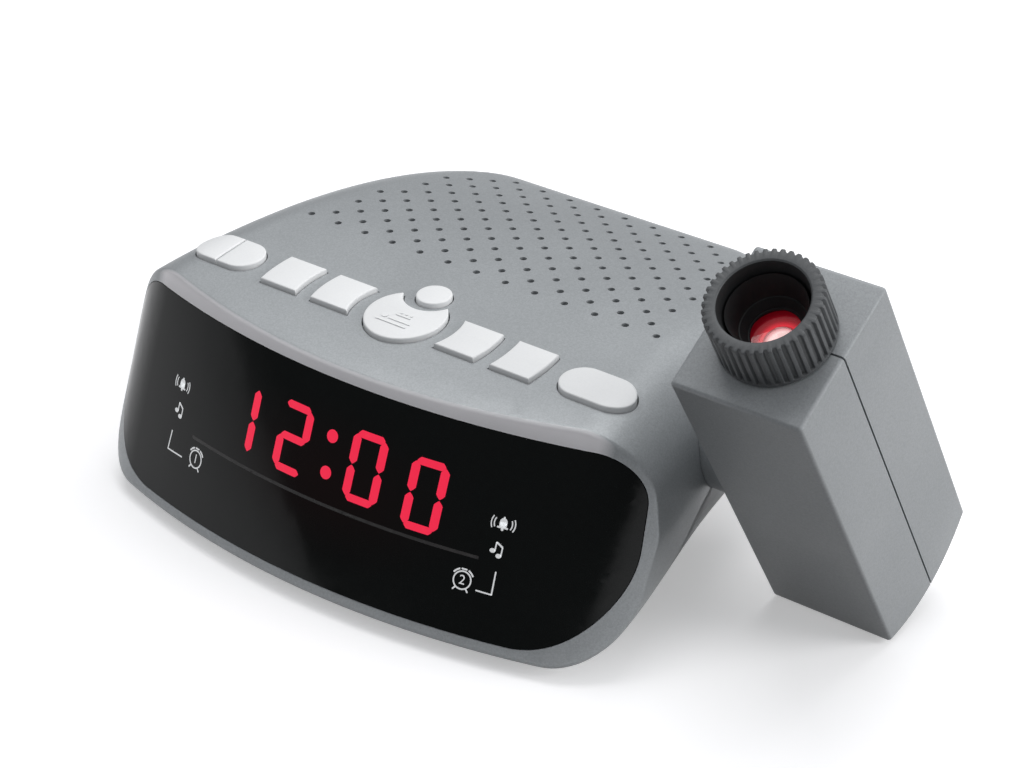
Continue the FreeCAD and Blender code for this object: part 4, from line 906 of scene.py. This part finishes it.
DOT_R = 1.65 * MM
lit = []
for lit_names, x, slope in DIGITS:
    for part in lit_names:
        source, across, up = SEGMENT_PLACES[part]
        lit.append(duplicate(source, "lit", face_place(x + across / MM, slope + up / MM)))
for x, slope in DOTS:
    deselect()
    bpy.ops.mesh.primitive_circle_add(vertices=24, radius=DOT_R, fill_type="NGON")
    dot = bpy.context.object
    move_mesh(dot, face_place(x, slope))
    lit.append(dot)
digits = join(lit, "lit_digits")
for spare in (across_bar, tall_bar):
    bpy.data.objects.remove(spare)
print("lit parts", len(lit))

# %% Lay the digits on the window
def lay_on(target, obj, lift, upward=False):
    """Press a flat drawing onto a surface from the front, or from above, and give it a little body."""
    finer = obj.modifiers.new("finer", "SUBSURF")
    finer.subdivision_type = "SIMPLE"
    finer.levels = 2
    wrap = obj.modifiers.new("wrap", "SHRINKWRAP")
    wrap.target = shown[target]
    wrap.wrap_method = "PROJECT"
    wrap.use_project_y = not upward
    wrap.use_project_z = upward
    wrap.use_negative_direction = True
    wrap.use_positive_direction = True
    wrap.wrap_mode = "ABOVE_SURFACE"
    wrap.offset = lift
    body = obj.modifiers.new("body", "SOLIDIFY")
    body.thickness = lift * 0.5
    body.offset = 0
    apply_all(obj)
    return obj


lay_on("display_window", digits, 0.08 * MM)
dress(digits, "clock_case", digit_red)

# %% [markdown]
# ### The painted red glow round the digits
#
# The lit segments spread a little red light into the dark plastic of the window, in a broad oval round the
# time. That glow is painted: a dark red second colour of the window's finish under a soft round mask, so the
# window keeps its gloss and gives no light of its own.

# %% The painted glow
PAINTED_GLOW_RADII = (46 * MM, 30 * MM, 22 * MM)
painted_glow_edge = add(window_black.node_tree, "ShaderNodeMapRange", To_Max=0.9)
painted_glow_edge.interpolation_type = "SMOOTHSTEP"
window_black.node_tree.links.new(soft_ball(window_black, face_point(2, -33), PAINTED_GLOW_RADII),
                                 painted_glow_edge.inputs["Value"])
# The red light that the digits spread over the window is painted into its colour here.
mix_colour(window_black, painted_glow_edge.outputs["Result"], (0.0125, 0.0046, 0.0046))
print("window finish nodes", len(window_black.node_tree.nodes))

# %% [markdown]
# ## The small icons
#
# Pale print beside the digits shows bells, notes, brackets and two alarm clocks. They are drawn flat from
# bars, discs and parts of rings, each from a primitive that is inset, cut back or stretched. Only the two
# numerals come from a text, made mesh before it is placed. All of it is laid on the window like the digits.

# %% Flat shapes
def shift(obj, at, turn=0.0):
    """Turn a flat shape and move it in its own plane, in millimetres."""
    move_mesh(obj, Matrix.Translation((at[0] * MM, at[1] * MM, 0)) @ Matrix.Rotation(turn, 4, "Z"))
    return obj


def flat_bar(length, width, turn=0.0, at=(0, 0)):
    """A flat bar with softened corners, in millimetres."""
    deselect()
    bpy.ops.mesh.primitive_plane_add(size=1)
    bar = bpy.context.object
    bar.scale = (length * MM, width * MM, 1)
    settle(bar)
    pick(bar, lambda point, normal: True, "VERT")
    bpy.ops.mesh.bevel(offset=width * 0.3 * MM, affect="VERTICES", segments=2)
    bpy.ops.object.mode_set(mode="OBJECT")
    return shift(bar, at, turn)


def flat_disc(radius, at=(0, 0), stretch=(1, 1)):
    """A flat disc or oval, in millimetres."""
    deselect()
    bpy.ops.mesh.primitive_circle_add(vertices=24, radius=radius * MM, fill_type="NGON")
    disc = bpy.context.object
    pick(disc, lambda centre, normal: True)
    bpy.ops.mesh.inset(thickness=radius * 0.4 * MM)
    bpy.ops.object.mode_set(mode="OBJECT")
    disc.scale = (*stretch, 1)
    settle(disc)
    return shift(disc, at)


print("bars and discs ready")

# %% Arcs and numerals
def flat_arc(radius, width, first=0.0, last=360.0, at=(0, 0)):
    """A flat ring, or its part between two angles in degrees."""
    deselect()
    bpy.ops.mesh.primitive_circle_add(vertices=48, radius=(radius + width / 2) * MM, fill_type="NGON")
    ring_part = bpy.context.object
    pick(ring_part, lambda centre, normal: True)
    bpy.ops.mesh.inset(thickness=width * MM)
    bpy.ops.mesh.delete(type="FACE")
    bpy.ops.object.mode_set(mode="OBJECT")
    if last - first < 359:
        pick(ring_part, lambda centre, normal: (math.degrees(math.atan2(centre.y, centre.x)) - first) % 360
             > last - first)
        bpy.ops.mesh.delete(type="FACE")
        bpy.ops.object.mode_set(mode="OBJECT")
    return shift(ring_part, at)


def flat_numeral(text, size, at):
    """A numeral made mesh, in millimetres."""
    deselect()
    bpy.ops.object.text_add()
    numeral = bpy.context.object
    numeral.data.body = text
    numeral.data.size = size * MM
    numeral.data.align_x = "CENTER"
    numeral.data.align_y = "CENTER"
    bpy.ops.object.convert(target="MESH")
    return shift(bpy.context.object, at)


print("arcs and numerals ready")

# %% Bell, notes and alarm clock
ICON_STROKE = 0.36


def bell():
    """A bell with two sound waves on each side."""
    pieces = [flat_disc(1.15, (0, 0.6), (1, 1.1)), flat_bar(2.3, 1.5, 0, (0, -0.1)),
              flat_bar(3.3, 0.55, 0, (0, -1.0)), flat_disc(0.42, (0, -1.55)), flat_disc(0.3, (0, 2.0))]
    for radius in (2.7, 3.6):
        for first, last in ((-28, 28), (152, 208)):
            pieces.append(flat_arc(radius, ICON_STROKE, first, last, (0, 0.2)))
    whole = join(pieces, "bell")
    move_mesh(whole, Matrix.Scale(0.82, 4))
    return whole


def note():
    """Two music notes under one beam."""
    return join([flat_disc(0.62, (-1.0, -0.6), (1.15, 0.9)), flat_disc(0.62, (0.7, -1.6), (1.15, 0.9)),
                 flat_bar(2.3, 0.34, math.pi / 2, (-0.42, 0.5)), flat_bar(2.3, 0.34, math.pi / 2, (1.25, -0.5)),
                 flat_bar(2.0, 0.45, -0.53, (0.42, 1.1))], "note")


def alarm(numeral):
    """An alarm clock with a numeral."""
    pieces = [flat_arc(2.2, ICON_STROKE), flat_arc(2.85, 0.42, 28, 66), flat_arc(2.85, 0.42, 114, 152),
              flat_bar(1.5, 0.4, 0, (0, 2.75)), flat_bar(1.0, 0.4, -0.9, (1.65, -2.3)),
              flat_bar(1.0, 0.4, 0.9, (-1.65, -2.3)), flat_numeral(numeral, 3.3, (0, 0))]
    return join(pieces, "alarm")


print("icons ready to draw")

# %% Icons and brackets on the window
ICON_PLACES = ((bell(), -51.6, -28.2), (bell(), 50.3, -29.4), (note(), -50.9, -34.4), (note(), 50.2, -35.5),
               (alarm("1"), -41.1, -43.6), (alarm("2"), 43.6, -45.0))
BRACKETS = (((-52.0, -40.5), (-52.3, -45.4), (-46.4, -45.2)), ((51.2, -41.0), (51.4, -46.6), (47.5, -46.5)))
CORNER_OVERLAP = 0.25
drawn = []
for icon, x, slope in ICON_PLACES:
    move_mesh(icon, face_place(x, slope))
    drawn.append(icon)
for upper, corner, end in BRACKETS:
    for first, last in ((upper, corner), (corner, end)):
        turn = math.atan2(last[1] - first[1], last[0] - first[0])
        line = flat_bar(math.dist(first, last) + CORNER_OVERLAP, ICON_STROKE, turn)
        move_mesh(line, face_place((first[0] + last[0]) / 2, (first[1] + last[1]) / 2))
        drawn.append(line)
icons = join(drawn, "window_icons")
lay_on("display_window", icons, 0.05 * MM)
dress(icons, "clock_case", white_ink_with_painted_glow)

# %% [markdown]
# ### The raised sign on the round key
#
# The big round key carries a small raised sign of a bed, in the key's own plastic. A bump in the finish
# would shade it but give it no edge, so it is drawn from the same flat shapes and pressed onto the key from
# above.

# %% The raised sign
snooze_low, snooze_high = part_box("snooze_key")
snooze_r = (snooze_high.x - snooze_low.x) / 2
sign = join([flat_bar(9.3, 0.6, 0, (-0.8, -4.85)), flat_bar(6.6, 0.45, 0, (0.7, -3.4)),
             flat_disc(0.95, (-4.1, -2.8)), flat_bar(4.6, 0.5, 0, (0.3, -1.2)), flat_disc(0.4, (-1.0, -0.1)),
             flat_disc(0.4, (0.5, -0.1)), flat_disc(0.4, (2.0, -0.1))], "key_sign")
move_mesh(sign, Matrix.Translation((snooze_low.x + snooze_r, snooze_low.y + snooze_r, snooze_high.z)))
lay_on("snooze_key", sign, 0.14 * MM, True)
dress(sign, body_of_node["snooze_key"], key_plastic)

# %% [markdown]
# ### The faint line across the window
#
# Below the time a line, hardly lighter than the window, joins the two alarm clocks. The window is bowed, so
# the line is drawn as twelve short bars, each turned with the face, that overlap at their ends.

# %% The faint line
LINE_ENDS = (-43.7, 46.1)
LINE_SLOPE = -38.7
LINE_WIDTH = 0.8
DASHES = 12
dash_length = (LINE_ENDS[1] - LINE_ENDS[0]) / DASHES
dashes = []
for step in range(DASHES):
    dash = flat_bar(dash_length + 0.5, LINE_WIDTH)
    move_mesh(dash, face_place(LINE_ENDS[0] + dash_length * (step + 0.5), LINE_SLOPE))
    dashes.append(dash)
line = join(dashes, "window_stripe")
lay_on("display_window", line, 0.03 * MM)
dress(line, "clock_case", window_line)

# %% [markdown]
# ## The camera, the floor and the light
#
# The camera looks at the clock from about thirty-seven degrees to the right of straight on and thirty
# degrees up, through a long lens, so that near and far parts keep nearly the same scale.

# %% The camera
CAMERA_AT = place(347.3, -451.6, 353.8)
CAMERA_FORWARD = Vector((-0.5182, 0.697, -0.4957))
CAMERA_ROLL = math.radians(0.64)

deselect()
bpy.ops.object.camera_add(location=CAMERA_AT)
camera = bpy.context.object
camera.name = "photo_camera"
camera.rotation_mode = "QUATERNION"
camera.rotation_quaternion = (CAMERA_FORWARD.to_track_quat("-Z", "Y")
                              @ Matrix.Rotation(CAMERA_ROLL, 3, "Z").to_quaternion())
camera.data.sensor_width = 36
camera.data.lens = 89.5
camera.data.clip_start = 0.01
bpy.context.scene.camera = camera
print("camera at", tuple(round(value, 3) for value in CAMERA_AT))

# %% [markdown]
# ### The floor
#
# The floor is plain and pale and runs far enough to have no edge in view. It is white where the camera sees
# it, directly or in a reflection, and darker where it only throws light back, as a big dim room would be.
# The light path tells the two apart.

# %% The floor
deselect()
bpy.ops.mesh.primitive_plane_add(size=12, location=(0, 0, 0))
floor = bpy.context.object
floor.name = "studio_floor"
settle(floor)
floor_white = bpy.data.materials.new("floor_white")
floor_white.use_nodes = True
tree = floor_white.node_tree
tree.nodes.clear()
seen = add(tree, "ShaderNodeBsdfDiffuse", Color=(0.86, 0.855, 0.865, 1))
lift = add(tree, "ShaderNodeEmission", Strength=0.36)
unseen = add(tree, "ShaderNodeBsdfDiffuse", Color=(0.07, 0.07, 0.07, 1))
both = add(tree, "ShaderNodeAddShader")
path = add(tree, "ShaderNodeLightPath")
direct = add(tree, "ShaderNodeMath")
any_way = add(tree, "ShaderNodeMath")
direct.operation = any_way.operation = "MAXIMUM"
choice = add(tree, "ShaderNodeMixShader")
floor_output = add(tree, "ShaderNodeOutputMaterial")
for leaving, arriving in (
        (seen.outputs["BSDF"], both.inputs[0]), (lift.outputs["Emission"], both.inputs[1]),
        (path.outputs["Is Camera Ray"], direct.inputs[0]), (path.outputs["Is Glossy Ray"], direct.inputs[1]),
        (direct.outputs["Value"], any_way.inputs[0]), (path.outputs["Is Transmission Ray"], any_way.inputs[1]),
        (any_way.outputs["Value"], choice.inputs["Fac"]), (unseen.outputs["BSDF"], choice.inputs[1]),
        (both.outputs["Shader"], choice.inputs[2]), (choice.outputs["Shader"], floor_output.inputs["Surface"])):
    tree.links.new(leaving, arriving)
floor.data.materials.append(floor_white)
print("floor", round(floor.dimensions.x), "m wide")

# %% [markdown]
# ### The light
#
# Soft studio light suits pale satin plastic: a hard lamp would burn out on its curved top. One broad lamp
# hangs above and a little behind, a second stands at the right, and a pale world fills the rest. The world is
# brighter overhead than at the horizon, which gives the top and the upright sides their different greys.

# %% The lamps
def soft_lamp(name, at, towards, size, power):
    """A square area lamp."""
    light = bpy.data.lights.new(name, "AREA")
    light.size = size
    light.energy = power
    lamp = bpy.data.objects.new(name, light)
    bpy.context.scene.collection.objects.link(lamp)
    lamp.location = at
    lamp.rotation_mode = "QUATERNION"
    lamp.rotation_quaternion = (Vector(towards) - Vector(at)).to_track_quat("-Z", "Y")
    print(name, power, "W")


soft_lamp("top_lamp", (-0.2, 0.3, 1.1), (0, 0, 0.03), 0.9, 6.6)
soft_lamp("right_lamp", (1.0, 0.35, 0.5), (0.05, 0, 0.05), 0.6, 6.8)

# %% The world
world = bpy.data.worlds.new("studio")
world.use_nodes = True
tree = world.node_tree
background = tree.nodes["Background"]
background.inputs["Color"].default_value = (0.95, 0.97, 1.0, 1)
sky = add(tree, "ShaderNodeTexCoord")
split = add(tree, "ShaderNodeSeparateXYZ")
rise = add(tree, "ShaderNodeMapRange", To_Min=0.16, To_Max=0.58)
tree.links.new(sky.outputs["Generated"], split.inputs["Vector"])
tree.links.new(split.outputs["Z"], rise.inputs["Value"])
tree.links.new(rise.outputs["Result"], background.inputs["Strength"])
bpy.context.scene.world = world
bpy.context.scene.view_settings.view_transform = "Standard"
print("world ready")
